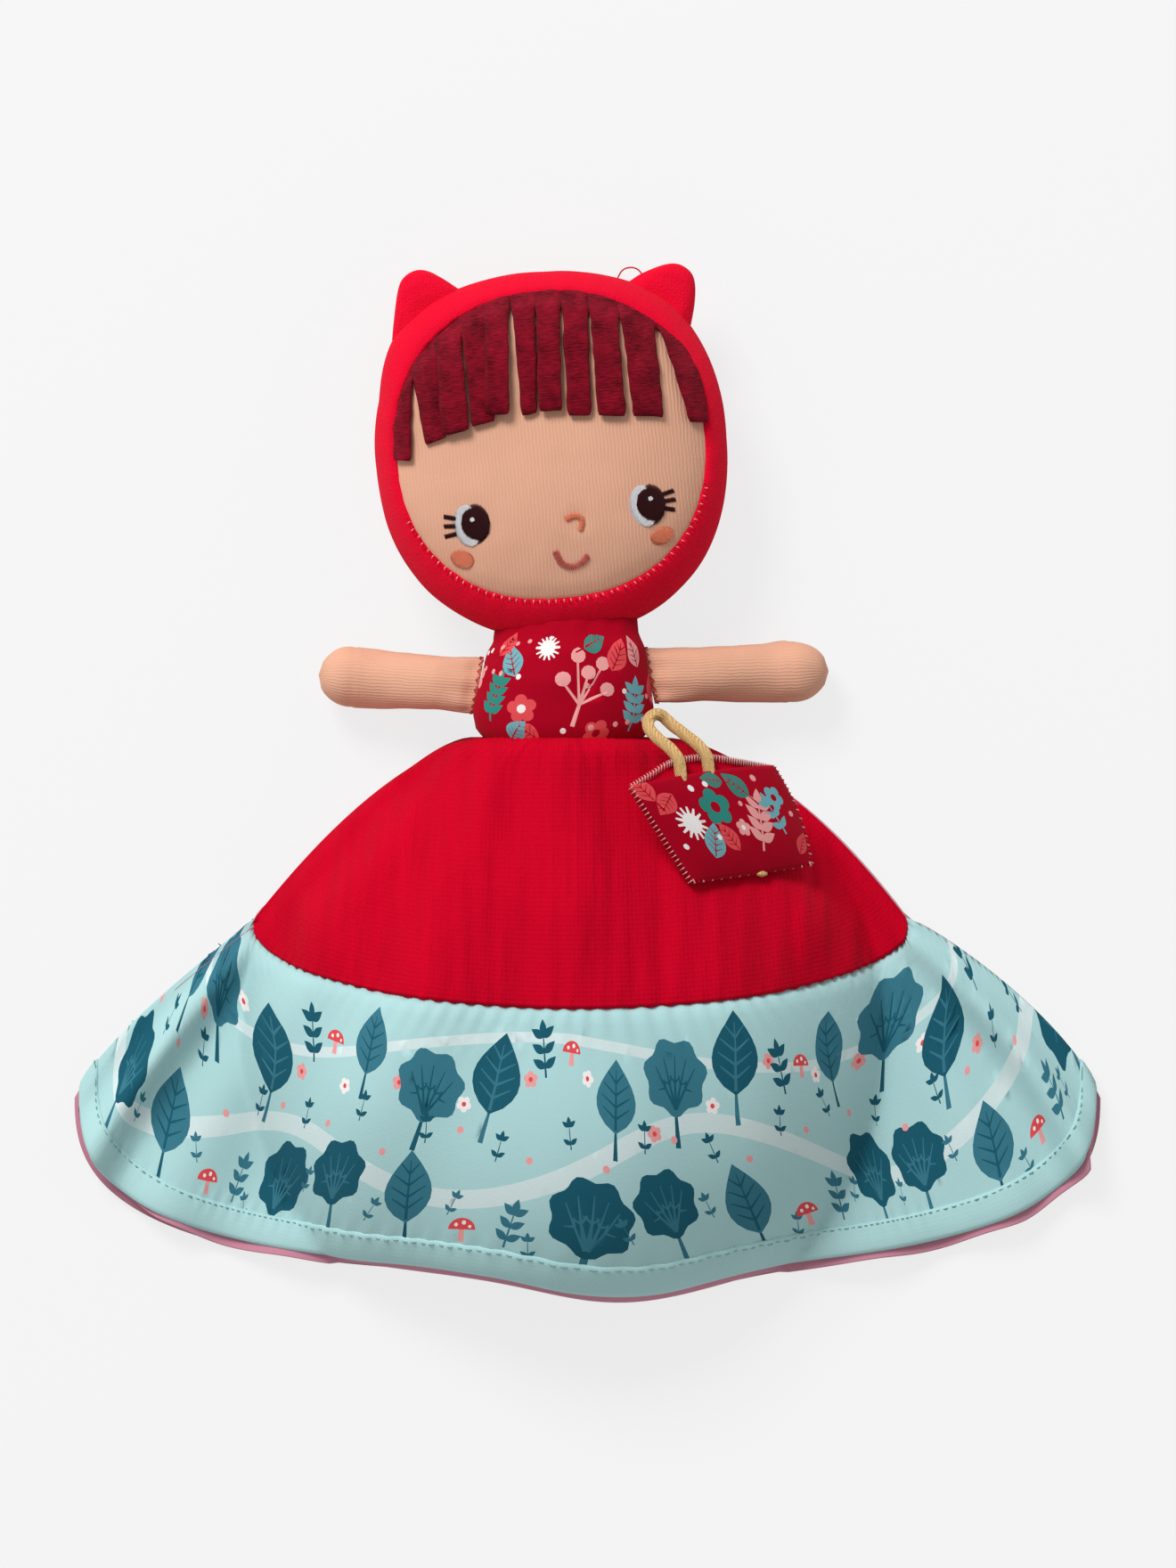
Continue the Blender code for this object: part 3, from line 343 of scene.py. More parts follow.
class Value:
    """An output inside a node tree, worked with like a number."""

    def __init__(self, tree, socket):
        self.tree, self.socket = tree, socket

    def does(self, operation):
        return worked(self.tree, operation, self)

    def __add__(self, other):
        return worked(self.tree, "ADD", self, other)

    def __sub__(self, other):
        return worked(self.tree, "SUBTRACT", self, other)

    def __mul__(self, other):
        return worked(self.tree, "MULTIPLY", self, other)

    def __truediv__(self, other):
        return worked(self.tree, "DIVIDE", self, other)

    def __rtruediv__(self, other):
        return worked(self.tree, "DIVIDE", other, self)


def filled(node, values):
    """Set a node's inputs, each from a number, a colour or a Value."""
    for key, value in values.items():
        if isinstance(value, Value):
            node.id_data.links.new(value.socket, node.inputs[key])
        else:
            node.inputs[key].default_value = value
    return node


def out(node, key=0):
    return Value(node.id_data, node.outputs[key])


def add_node(tree, kind, *values, **named):
    """Add a node, with its first inputs or its named ones set."""
    return filled(tree.nodes.new("ShaderNode" + kind), {**dict(enumerate(values)), **named})


def worked(tree, operation, *values):
    """The answer of a Math node."""
    node = add_node(tree, "Math", *values)
    node.operation = operation
    return out(node)


def cloth_place(tree):
    """The cloth's own coordinates, in metres: both numbers, and the pair."""
    where = add_node(tree, "UVMap")
    where.uv_map = "Cloth"
    place = out(where)
    return (*parted(place)[:2], place)


def object_place(tree):
    return out(add_node(tree, "TexCoord"), "Object")


def parted(place):
    node = add_node(place.tree, "SeparateXYZ", place)
    return [out(node, i) for i in range(3)]


def together(*values):
    return out(add_node(values[0].tree, "CombineXYZ", *values))


def grain_of(place, scale, detail, roughness=0.6):
    return out(add_node(place.tree, "TexNoise", Scale=scale, Detail=detail, Roughness=roughness, Vector=place), "Fac")


def weave(tree, size):
    """Plain weave: threads over and under each other."""
    u, v, place = cloth_place(tree)
    turn = pi / size["Pitch"]
    check = (u * turn).does("SINE") * (v * turn).does("SINE")
    slub = (grain_of(place, 1400.0, 3.0) - 0.5) * size["Slub"]
    return check.does("ABSOLUTE") * 0.4 + slub * 2.0, check * 0.15 + slub


def crinkle(tree, size):
    """Double gauze: loose weave that is drawn up in long uneven crinkles."""
    u, v, place = cloth_place(tree)
    wander = grain_of(place, 55.0, 3.0)
    folds = grain_of(together(u / size["Width"], v * 26.0, wander * 1.6), 1.0, 3.0, 0.55)
    turn = pi / size["Pitch"]
    threads = ((u * turn).does("SINE") * (v * turn).does("SINE")).does("ABSOLUTE")
    grain = grain_of(place, 1500.0, 3.0)
    # Its shade is painted light and shade that follow the crinkle folds, lighter on their crests and darker in their
    # hollows, with random grain tone on top.
    return folds + (threads * 0.10 + grain * 0.16), (folds - 0.5) * 0.9 + (grain - 0.5) * 0.9


def knit(tree, size):
    """Fine jersey: columns of small V stitches that run along the cloth."""
    u, v, place = cloth_place(tree)
    column = ((u + grain_of(place, 260.0, 2.0) * 0.0009) / size["Wale"]).does("FRACT")
    slant = v / size["Course"] + (column - 0.5).does("ABSOLUTE") * 1.2
    rib = (column * TURN).does("SINE") * 0.5 + 0.5
    loop = (slant * TURN).does("SINE")
    fuzz = grain_of(place, 1800.0, 2.0)
    # Its shade is painted light and shade across the wales, lighter on each rib and darker between ribs, with random
    # fuzz tone on top.
    return rib + loop * 0.12 + fuzz * 0.7, (rib - 0.5) * 0.5 + (fuzz - 0.5) * 0.8


def nap(tree, size):
    """Brushed fleece: short nap that lies in small ruffled patches."""
    u, v, place = cloth_place(tree)
    tufts = grain_of(together(u / size["Tuft"], v / size["Tuft"] * 5.0), 1.0, 4.0, 0.7)
    patches = grain_of(place, 160.0, 2.0)
    # Its shade is painted light and shade that follow the nap's tufts and patches, the same ones that make its height.
    return tufts + patches * 0.6, (tufts - 0.5 + (patches - 0.5) * 0.7) * 1.6


def twist(tree, size):
    """Twisted thread: fine strands that wind round a stitch."""
    place = object_place(tree)
    x, y, z = parted(place)
    wave = ((x + y * 0.6 + z * 0.8) * TURN / size["Strand"]).does("SINE")
    grain = grain_of(place, 2500.0, 2.0)
    return wave + grain, grain - 0.5


def shaded(tree, size):
    """Cloth colour made lighter and darker by the effect's shade, which is partly painted light and shade of the
    cloth's relief and partly random grain, and by a slow random drift of tone over the piece.
    """
    slow = (grain_of(object_place(tree), 38.0, 2.0) - 0.5) * size["Drift"]
    # The effect's shade, partly painted light and shade of the relief, scales the colour's value here.
    value = size["Shade"] * size["Amount"] + slow + 1.0
    return [out(add_node(tree, "HueSaturation", Color=size["Color"], Value=value))]


# Each effect's group name, maker, outputs, and inputs with their usual values
EFFECTS = {
    "weave": ("Plain Weave", weave, ("Height", "Shade"), {"Pitch": 0.0004, "Slub": 0.3}),
    "crinkle": ("Gauze Crinkle", crinkle, ("Height", "Shade"), {"Pitch": 0.0011, "Width": 0.0042}),
    "knit": ("Jersey Wales", knit, ("Height", "Shade"), {"Wale": 0.0006, "Course": 0.0005}),
    "nap": ("Fleece Nap", nap, ("Height", "Shade"), {"Tuft": 0.0009}),
    "twist": ("Thread Twist", twist, ("Height", "Shade"), {"Strand": 0.00035}),
    "shade": ("Cloth Colour", shaded, ("Color",),
              {"Color": (0.8, 0.8, 0.8, 1.0), "Shade": 0.0, "Amount": 0.25, "Drift": 0.12}),
}
GROUPS = {}
FINISHES = {}


def effect_group(name, make, outputs, inputs):
    """Make the shared node group of one effect."""
    group = bpy.data.node_groups.new(name, "ShaderNodeTree")

    def socket(label, way):
        kind = "NodeSocketColor" if label == "Color" else "NodeSocketFloat"
        return group.interface.new_socket(name=label, in_out=way, socket_type=kind)

    for label, value in inputs.items():
        socket(label, "INPUT").default_value = value
    for label in outputs:
        socket(label, "OUTPUT")
    start, end = group.nodes.new("NodeGroupInput"), group.nodes.new("NodeGroupOutput")
    filled(end, dict(zip(outputs, make(group, {label: out(start, label) for label in inputs}))))
    return group


def effect_node(tree, effect, values):
    if effect not in GROUPS:
        GROUPS[effect] = effect_group(*EFFECTS[effect])
    node = tree.nodes.new("ShaderNodeGroup")
    node.node_tree = GROUPS[effect]
    return filled(node, values)


def finish_material(name, color, effect, depth, amount=0.25, roughness=0.88, sheen=0.25, drift=0.10, **sizes):
    """A cloth or thread material: one shared effect for its height and for the shade it lays into its colour, partly
    painted light and shade of its relief, at this finish's own size.
    """
    if name in FINISHES:
        return FINISHES[name]
    material = bpy.data.materials.new(name)
    material.use_nodes = True
    tree = material.node_tree
    detail = effect_node(tree, effect, sizes)
    shade = effect_node(tree, "shade", {"Color": (*color, 1.0), "Amount": amount, "Drift": drift,
                                        "Shade": out(detail, "Shade")})
    bump = add_node(tree, "Bump", Strength=1.0, Distance=depth, Height=out(detail, "Height"))
    filled(tree.nodes["Principled BSDF"], {
        "Base Color": out(shade, "Color"), "Normal": out(bump, "Normal"), "Roughness": roughness,
        "Sheen Weight": sheen, "Sheen Roughness": 0.45, "Specular IOR Level": 0.03})
    FINISHES[name] = material
    return material


# Each cloth's own name, effect, depth, amount of shade in its colour (painted light and shade of its relief, and
# grain), and looks, by the name of its colour
CLOTHS = {
    "hood": ("hood cotton", "weave", 0.00018, 0.45, {"sheen": 0.03, "Pitch": 0.0006, "Slub": 0.9}),
    "skirt": ("crinkled gauze", "crinkle", 0.0007, 0.42, {"sheen": 0.01}),
    "skin": ("peach jersey", "knit", 0.00007, 0.13, {"sheen": 0.06, "Wale": 0.0009, "Course": 0.0007}),
    "hair": ("burgundy fleece", "nap", 0.0012, 1.7, {"roughness": 0.95, "sheen": 0.04, "Tuft": 0.0022}),
    "lining": ("pink lining", "weave", 0.00004, 0.12, {"Pitch": 0.0004, "Slub": 0.4}),
    "cord": ("tan cord", "twist", 0.00012, 0.8, {"roughness": 0.85, "sheen": 0.10, "Strand": 0.0007}),
}


def colour(name):
    return tuple(getattr(bpy.context.scene.doll_colours, name))


def cloth(name):
    label, effect, depth, amount, looks = CLOTHS[name]
    return finish_material(label, colour(name), effect, depth, amount, **looks)


def thread(word, color=None):
    return finish_material(word + " thread", color or colour(word), "twist", 0.00006, 0.6, roughness=0.5, sheen=0.0,
                           drift=0.05)


def print_cloths(word, *names):
    """The inks of a print, the ground first."""
    return [finish_material(word + " " + name.replace("_", " "), colour(name), "weave", 0.00005, 0.12, roughness=0.8,
                            sheen=0.03, drift=0.08, Pitch=0.0004, Slub=0.4) for name in names]


def crimson_inks():
    return print_cloths("crimson print", "crimson", "coral_ink", "pink_ink", "leaf_teal", "leaf_aqua", "white_ink")


# Head


def head_sum(x, y):
    """1 on the head's outline, less inside it; x and y are from the head's middle."""
    along = HEAD_CROWN if y > 0.0 else HEAD_CHIN
    return abs(x / HEAD_HALF_WIDTH) ** HEAD_SQUARENESS + abs(y / along) ** HEAD_SQUARENESS


def face_share(phi):
    return FACE_EDGE_SHARE - FACE_CHIN_SHARE * max(0.0, -sin(phi)) ** 2.0


def head_polar(share):
    return asin(min(1.0, share) ** (HEAD_FULLNESS / 2.0))


def head_point(phi, polar, off, floor):
    """A point of the head's cushion shape, moved out by some depth of cloth."""
    rho = max(0.0, sin(polar)) ** (2.0 / HEAD_FULLNESS)
    reach = rho * (head_sum(cos(phi), sin(phi)) ** (-1.0 / HEAD_SQUARENESS) + off)
    high = (HEAD_HALF_THICKNESS + off) * cos(polar)
    return Vector((reach * cos(phi), NECK_TO_MIDDLE + reach * sin(phi), max(high, floor + off)))


def face_height(x, y):
    """Height of the face above the head's middle plane."""
    rho = min(1.0, head_sum(x, y - NECK_TO_MIDDLE) ** (1.0 / HEAD_SQUARENESS))
    return HEAD_HALF_THICKNESS * sqrt(max(0.0, 1.0 - rho ** HEAD_FULLNESS))


class Head:
    """One of the two heads: its place, its body and the start of its names."""

    def __init__(self, first):
        self.first, self.way = first, 1.0 if first else -1.0
        self.prefix = "" if first else "second_"
        self.body = self.prefix + "head"
        self.middle = FIRST_HEAD_MIDDLE if first else SECOND_HEAD_MIDDLE
        self.floor = -self.middle + (0.0 if first else SECOND_FLOOR)
        place = (NECK_SHIFT, NECK_SEAM, self.middle) if first else (0.0, -NECK_SEAM, self.middle)
        self.matrix = Matrix.Translation(place) @ Matrix.Rotation(HEAD_TILT if first else pi, 4, "Z")

    def on_face(self, x, y, lift=0.0):
        """A place on the face, from the head's middle."""
        return self.matrix @ Vector((x, y + NECK_TO_MIDDLE, face_height(x, y + NECK_TO_MIDDLE) + lift))

    def mesh(self, name, rows, flat, material, middle=None):
        """A closed round of rows, put on the head's place."""
        rows = [[self.matrix @ point for point in row] for row in rows]
        if middle is None:
            middle = self.matrix @ Vector((0.0, NECK_TO_MIDDLE, 0.0))
        return grid_mesh(name, rows, flat, material, looks_from(middle), True)


# Middle and size of each dimple round the stitched features, in millimetres from the head's middle
DIMPLES = ((-21.5, -17.0, 6.0), (23.5, -16.0, 6.0), (2.9, -28.5, 6.5), (5.0, -18.5, 3.5), (-25.0, -25.6, 4.0),
           (26.4, -24.1, 4.0))


def make_face(head):
    """The jersey face: a cushion drawn in a little at its edge and round the stitched features."""

    def place(phi, share):
        point = head_point(phi, share * head_polar(face_share(phi) + FACE_UNDER_HOOD), 0.0, -1.0)
        sink = 0.00045 * smooth(share, 0.80, 1.0) + 0.0007 * smooth(share, 0.955, 1.0)
        pucker = 0.00012 * smooth(share, 0.82, 1.0) * sin(phi * 41.0 + 3.0 * lump(point, 0.02, 1.0))
        for x, y, size in millimetres(*DIMPLES):
            away = hypot(point.x - x, point.y - NECK_TO_MIDDLE - y) / size
            sink += 0.00030 * exp(-away ** 4.0)
        point.z += 0.00035 * lump(point, 0.022, 3.1) + 0.00012 * lump(point, 0.007, 8.4) - sink + pucker
        return point

    rows = [[place(phi, share) for phi in steps(-pi, pi, FACE_CELLS[0])]
            for share in steps(0.0, 1.0, FACE_CELLS[1])[1:]]
    rows.insert(0, [Vector((0.0, NECK_TO_MIDDLE, HEAD_HALF_THICKNESS)).lerp(p, 0.02) for p in rows[0]])
    mesh = head.mesh(head.prefix + "face", rows, [[(p.x, p.y) for p in row] for row in rows], cloth("skin"))
    edit(mesh, close_hole)
    piece = finish_piece(mesh, head.body, "skin_jersey",
                         [head.prefix + "face_panel", head.prefix + "head_filling"], CLOTH)


def close_hole(bm):
    """Fill the smallest open loop of a mesh."""
    loops, seen = [], set()
    for edge in (e for e in bm.edges if e.is_boundary):
        chain, todo = [], [edge]
        while todo:
            here = todo.pop()
            if here not in seen:
                seen.add(here)
                chain.append(here)
                todo += [e for v in here.verts for e in v.link_edges if e.is_boundary and e not in seen]
        if chain:
            loops.append(chain)
    smallest = min(loops, key=lambda chain: sum(edge.calc_length() for edge in chain))
    bmesh.ops.holes_fill(bm, edges=smallest, sides=0)


# How far the hood stands off the head at its outline, in millimetres, by the angle round the face in degrees
HOOD_SWELLS = ((0.0, 0.0), (18.0, 0.7), (30.0, 1.5), (45.0, 2.4), (60.0, 1.9), (87.0, 0.8), (114.0, 2.0),
               (130.0, 3.1), (140.0, 3.4), (147.0, 2.4), (158.0, 0.4), (180.0, 0.0))
# Shares of the way over the crown where the hood has a row, and how far its first rows are tucked in
HOOD_ROWS = [(0.0, -0.0011), (0.006, -0.0004), (0.018, 0.0), (0.035, 0.0), (0.07, 0.0)]
HOOD_ROWS += [(share, 0.0) for share in steps(0.12, 1.0, 34)]


def make_hood(head, material, slot, nodes):
    """Hood or cap: rolled edge round the face, seam over the crown, open at the neck."""

    def place(angle, mark):
        phi, (share, tuck) = angle - pi / 2.0, mark
        edge = head_polar(face_share(phi) + HOOD_START)
        polar = edge + (pi * 0.999 - edge) * share
        reach = (polar - edge) * 0.030
        near, side = exp(-reach / 0.0045), sin(polar) ** 2.0
        roll = 0.0009 * (1.0 - exp(-reach / 0.0011)) * exp(-reach / 0.016)
        seam = -0.0004 * exp(-((polar - pi / 2.0) * 0.035 / 0.0011) ** 2.0)
        pucker = 0.00022 * near * sin(phi * 46.0 + 4.0 * noise.noise(Vector((phi * 3.0, 0.0, 2.0))))
        pull = 0.0007 * lump((phi * 0.03, polar * 0.012, 0.0), 0.010, 5.5) * (1.0 - near)
        over = 0.0013 * smooth(sin(phi), 0.10, 0.45) * exp(-reach / 0.0050)
        out = roll + seam + pucker + pull + tuck + over
        if head.first and sin(phi) > 0.0:
            swell = between(HOOD_SWELLS, degrees(atan2(sin(phi), cos(phi))))[0]
            out += swell / 600.0 * side * side * (1.0 - near)
        return head_point(phi, polar, out * (1.0 - 0.4 * side), head.floor), (phi * 0.043, polar * 0.040)

    rows, flat = swept(steps(0.0, TURN, HOOD_COLUMNS), HOOD_ROWS, place)
    mesh = head.mesh(head.prefix + "hood", rows, flat, material)
    edit(mesh, close_hole)
    edit(mesh, lambda bm: cut_open(bm, head))
    finish_piece(mesh, head.body, slot, nodes, CLOTH)


def cut_open(bm, head):
    """Open a hood at the neck, where the bodice is sewn on."""
    bmesh.ops.bisect_plane(bm, geom=bm.verts[:] + bm.edges[:] + bm.faces[:], clear_inner=True, dist=1e-6,
                           plane_co=head.matrix @ Vector((0.0, -0.0002, 0.0)),
                           plane_no=(head.matrix.to_3x3() @ Vector((0.0, 1.0, 0.0))).normalized())


LEFT_EAR = ((-38.3, 32.4), (-37.4, 37.4), (-35.8, 44.6), (-34.1, 48.0), (-31.0, 49.7), (-27.8, 49.4), (-24.1, 47.2),
            (-19.9, 43.9))
RIGHT_EAR = ((23.8, 42.2), (27.6, 44.1), (33.3, 45.7), (37.0, 45.4), (39.8, 43.1), (40.6, 39.8), (40.0, 34.7),
             (38.3, 28.4))
EAR_HALF_THICKNESS = 0.0038
EAR_SUNK = 0.90


def make_ear(head, name, node, outline):
    """A stuffed ear: two pieces of cotton seamed round an outline and sewn to the hood."""
    edge = [Vector(spot) for spot in curve_through(millimetres(*outline), 5)]
    first, last = edge[0], edge[-1]
    tallest = max((spot - first.lerp(last, 0.5)).length for spot in edge)

    def place(a, i):
        foot = first.lerp(last, i / (len(edge) - 1)) * EAR_SUNK
        full = min(1.0, (edge[i] - foot).length / tallest) ** 0.5
        share = 0.5 - 0.5 * cos(a)
        x, y = edge[i].lerp(foot, share)
        seam = 1.0 - 0.25 * exp(-share / 0.03)
        crease = 0.0006 * lump((x, y, sin(a)), 0.006, 9.0) * sin(a)
        high = EAR_HALF_THICKNESS * full * sin(a) * seam + crease
        return Vector((x, y + NECK_TO_MIDDLE, high)), (x * 0.8 + y * 0.6, y * 0.8 - x * 0.6)

    def close_ends(bm):
        bmesh.ops.holes_fill(bm, edges=[e for e in bm.edges if e.is_boundary], sides=0)
        turn_faces_out(bm)

    rows, flat = swept(steps(0.0, TURN, EAR_SIDES), range(len(edge)), place)
    middle = head.matrix @ Vector((*(first.lerp(last, 0.5)), 0.0)) + Vector((0.0, NECK_TO_MIDDLE, 0.0))
    mesh = head.mesh(name, rows, flat, cloth("hood"), middle)
    edit(mesh, close_ends)
    piece = finish_piece(mesh, head.body, "hood_red", [node])


def make_thread_loop(head):
    """A loose loop of sewing thread, caught in the crown seam at both ends."""
    loop = Stitches()
    route = curve_through(millimetres((20.2, 42.0), (22.2, 45.0), (24.6, 45.6), (26.6, 44.6), (27.8, 42.0)), 6)
    loop.add([head.matrix @ Vector((x, y + NECK_TO_MIDDLE, 0.0010)) for x, y in route], LOOSE_THREAD)
    loop.piece("thread_loop", [thread("hood")], head.body, "hood_red")


# Top left, top right, bottom left and bottom right of each fringe strip, in millimetres from the head's middle
STRIPS = (
    (-36.8, 18.6, -33.0, 25.9, -40.8, 1.2, -35.6, 0.4), (-34.6, 24.4, -26.8, 31.7, -32.4, 4.2, -25.8, 5.7),
    (-27.8, 31.0, -19.9, 36.5, -27.9, 5.8, -19.7, 7.2), (-20.8, 36.0, -13.4, 39.4, -20.2, 7.7, -12.8, 8.7),
    (-14.3, 39.0, -6.8, 41.3, -16.5, 10.4, -9.2, 10.0), (-7.2, 41.2, -0.2, 41.7, -7.2, 9.5, -2.2, 9.6),
    (-0.8, 41.7, 6.2, 41.3, -2.8, 10.1, 4.2, 9.8), (5.7, 41.4, 13.3, 39.8, 4.4, 8.4, 11.6, 7.8),
    (12.5, 40.0, 20.6, 37.2, 12.0, 7.9, 20.4, 6.8), (19.8, 37.4, 29.6, 32.8, 20.9, 7.1, 30.2, 6.0),
    (28.8, 33.2, 35.4, 26.6, 35.4, 4.4, 41.2, 3.9))
STRIP_LIFTS = (0.3, 0.0, 1.2, 0.2, 1.5, 0.0, 0.9, 0.2, 0.8, 0.1, 0.5)


def make_fringe(head):
    """Fleece cut into strips that hang over the forehead from under the hood's edge."""
    thickness = bpy.context.scene.doll_sizes.fleece
    points, faces, flat, (sides, rows) = [], [], [], STRIP_CELLS
    for number, (strip, rise) in enumerate(zip(millimetres(*STRIPS), STRIP_LIFTS)):
        ax, ay, bx, by, cx, cy, dx, dy = strip
        faces += tube_faces(len(points), rows + 1, sides)
        for t in steps(0.0, 1.0, rows):
            fall, bulge, tip = t ** 0.92, sin(pi * t), min(1.0, (1.0 - t) / 0.035)
            left_x = mix(ax, cx, fall) - (0.0010 * bulge if number == 0 else 0.0)
            right_x = mix(bx, dx, fall) + (0.0019 * bulge if number == len(STRIPS) - 1 else 0.0)
            for a in turns(sides):
                across = 0.5 + 0.5 * bent(cos(a), 0.42)
                across = 0.5 + (across - 0.5) * (0.90 + 0.10 * sqrt(tip)) * (1.0 - 0.145 * smooth(t, 0.08, 0.24))
                high = 0.5 + 0.5 * bent(sin(a), 0.75)
                x, y = mix(left_x, right_x, across), mix(mix(ay, cy, t), mix(by, dy, t), across)
                y += 0.0004 * lump((x, y, number), 0.002, 4.0) * smooth(t, 0.6, 1.0)
                x += 0.00035 * lump((x, y, number * 0.7), 0.004, 2.0) * smooth(t, 0.1, 0.4)
                lift = 0.0004 + rise * 0.0010 * smooth(t, 0.05, 0.5) + thickness * high * (0.55 + 0.45 * sqrt(tip))
                lift += 0.00045 * lump((x, y, number), 0.009, 7.7) * smooth(t, 0.2, 0.6)
                lift -= 0.0012 * (1.0 - smooth(t, 0.03, 0.15))
                fuzz = 0.00020 * lump((x * 0.35, y, lift), 0.0006, 1.3) + 0.0001 * lump((x, y, lift), 0.0003, 2.2)
                points.append(head.on_face(x, y, lift + fuzz))
                flat.append((x + 0.3 * number, y + 0.002 * high))
    mesh = mesh_of(head.prefix + "fringe", points, faces, [cloth("hair")], flat)
    edit(mesh, turn_faces_out)
    finish_piece(mesh, head.body, "hair_fleece", [head.prefix + "hair_fringe"])


class Embroidery(Stitches):
    """Satin stitches on the face of a head; places and routes are in millimetres from the head's middle."""

    def __init__(self, head):
        super().__init__()
        self.head, self.pitch = head, bpy.context.scene.doll_sizes.satin

    def oval(self, middle, half, turn, angle, lift, ink=0, tight=1.0):
        """Fill an oval with parallel stitches at an angle."""
        reach, pitch = max(half), self.pitch * tight
        (cx, cy), = millimetres(middle)
        for i in range(int(ceil(2.0 * reach / pitch)) + 1):
            off, inside = -reach + i * pitch, []
            for k in steps(-reach, reach, 60):
                x, y = -sin(angle) * off + cos(angle) * k, cos(angle) * off + sin(angle) * k
                u, w = x * cos(turn) + y * sin(turn), -x * sin(turn) + y * cos(turn)
                if (u / half[0]) ** 2.0 + (w / half[1]) ** 2.0 <= 1.0:
                    inside.append(k)
            if not inside or inside[-1] - inside[0] < 2.5 * SATIN_THREAD:
                continue
            low = inside[0] - 0.00012 + 0.00018 * noise.noise(Vector((i * 1.7, cx * 900.0, 0.0)))
            high = inside[-1] + 0.00012 + 0.00018 * noise.noise(Vector((i * 1.3, cy * 900.0, 5.0)))
            route = []
            for k in steps(low, high, 6):
                x, y = cx - sin(angle) * off + cos(angle) * k, cy + cos(angle) * off + sin(angle) * k
                share = (k - low) / max(1e-9, high - low)
                rise = lift * max(0.0, 4.0 * share * (1.0 - share)) ** 0.4
                route.append(self.head.on_face(x, y, rise - 0.0001))
            self.add(route, SATIN_THREAD, ink)

    def line(self, half_width, lift, *route):
        """Short stitches across a line that follows a route."""
        self.follow(half_width, lift, millimetres(*route))

    def curve(self, half_width, lift, *route):
        self.follow(half_width, lift, curve_through(millimetres(*route), 6))

    def follow(self, half_width, lift, route):
        marks = []
        for here, there in zip(route, route[1:]):
            run = (there[0] - here[0], there[1] - here[1])
            count = max(1, int(hypot(*run) / self.pitch))
            marks += [(here[0] + run[0] * (i / count), here[1] + run[1] * (i / count), atan2(run[1], run[0]))
                      for i in range(count)]
        for i, (x, y, angle) in enumerate(marks):
            wide = half_width * (1.0 + 0.10 * noise.noise(Vector((i * 1.9, x * 800.0, 0.0))))
            lean = angle + pi / 2.0 + 0.15
            self.add([self.head.on_face(x + cos(lean) * wide * s, y + sin(lean) * wide * s,
                                        lift * (1.0 - 0.7 * s * s) - 0.0001) for s in steps(-1.0, 1.0, 4)],
                     LINE_THREAD)

    def feature(self, name, colours, slot):
        prefix = self.head.prefix
        self.piece(prefix + name + "_stitches", [thread(word) for word in colours], self.head.body, slot,
                   [prefix + name])


# Each eye's pupil, white, shine and lashes, in millimetres from the head's middle
EYES = {
    "eye_left": ((-20.9, -17.1), (-22.7, -17.3), (-21.6, -15.9),
                 (((-25.9, -15.2), (-29.0, -14.4)), ((-26.2, -17.1), (-29.2, -16.9)),
                  ((-26.1, -19.1), (-29.2, -19.6)))),
    "eye_right": ((24.2, -16.0), (22.4, -16.2), (24.2, -14.5),
                  (((27.5, -13.6), (30.5, -12.8)), ((27.8, -15.4), (30.8, -15.1)), ((27.6, -17.2), (30.4, -17.8)))),
}


def make_stitched_face(head):
    """Embroidered eyes, nose, mouth and cheeks, each of its own real stitches; the second doll's eyes are closed."""
    for name, (pupil, white, shine, lashes) in EYES.items():
        eye = Embroidery(head)
        if head.first:
            eye.oval(white, (0.0038, 0.0053), 0.10, 0.35, 0.00030, 1)
            eye.oval(pupil, (0.0037, 0.0052), -0.05, 1.35, 0.00060)
            eye.oval(shine, (0.00062, 0.00062), 0.0, 0.3, 0.0008, 1, 0.9)
            for lash in lashes:
                eye.line(0.00064, 0.00035, *lash)
        else:
            x, y = pupil
            eye.curve(0.00060, 0.00035, *[(x + u, y + v) for u, v in
                                          ((-4.6, 1.0), (-2.4, -1.6), (0.0, -2.4), (2.4, -1.6), (4.6, 1.0))])
            for lean in (-2.6, 0.0, 2.6):
                eye.line(0.00045, 0.00030, (x + lean, y - 2.4), (x + lean * 1.35, y - 4.6))
        eye.feature(name, ("dark", "white"), "dark_thread")
    nose = Embroidery(head)
    nose.line(0.00080, 0.00035, (2.2, -17.9), (4.4, -17.1), (6.0, -17.5))
    nose.line(0.00072, 0.00035, (6.1, -17.6), (6.3, -18.9), (5.6, -21.2))
    nose.feature("nose", ["coral"], "coral_thread")
    mouth = Embroidery(head)
    mouth.curve(0.00092, 0.00035, (-1.1, -26.0), (0.0, -28.7), (2.5, -30.1), (5.2, -29.4), (7.0, -27.6))
    mouth.line(0.0003, 0.0003, (-1.6, -26.1), (-0.6, -25.8))
    mouth.line(0.0003, 0.0003, (6.6, -27.3), (7.4, -28.0))
    mouth.feature("mouth", ["rose"], "rose_thread")
    for name, middle, turn in (("cheek_left", (-25.0, -25.6), -0.38), ("cheek_right", (26.4, -24.1), 0.40)):
        cheek = Embroidery(head)
        cheek.oval(middle, (0.0031, 0.0021), turn, turn + 0.5, 0.00030)
        cheek.feature(name, ["coral"], "coral_thread")


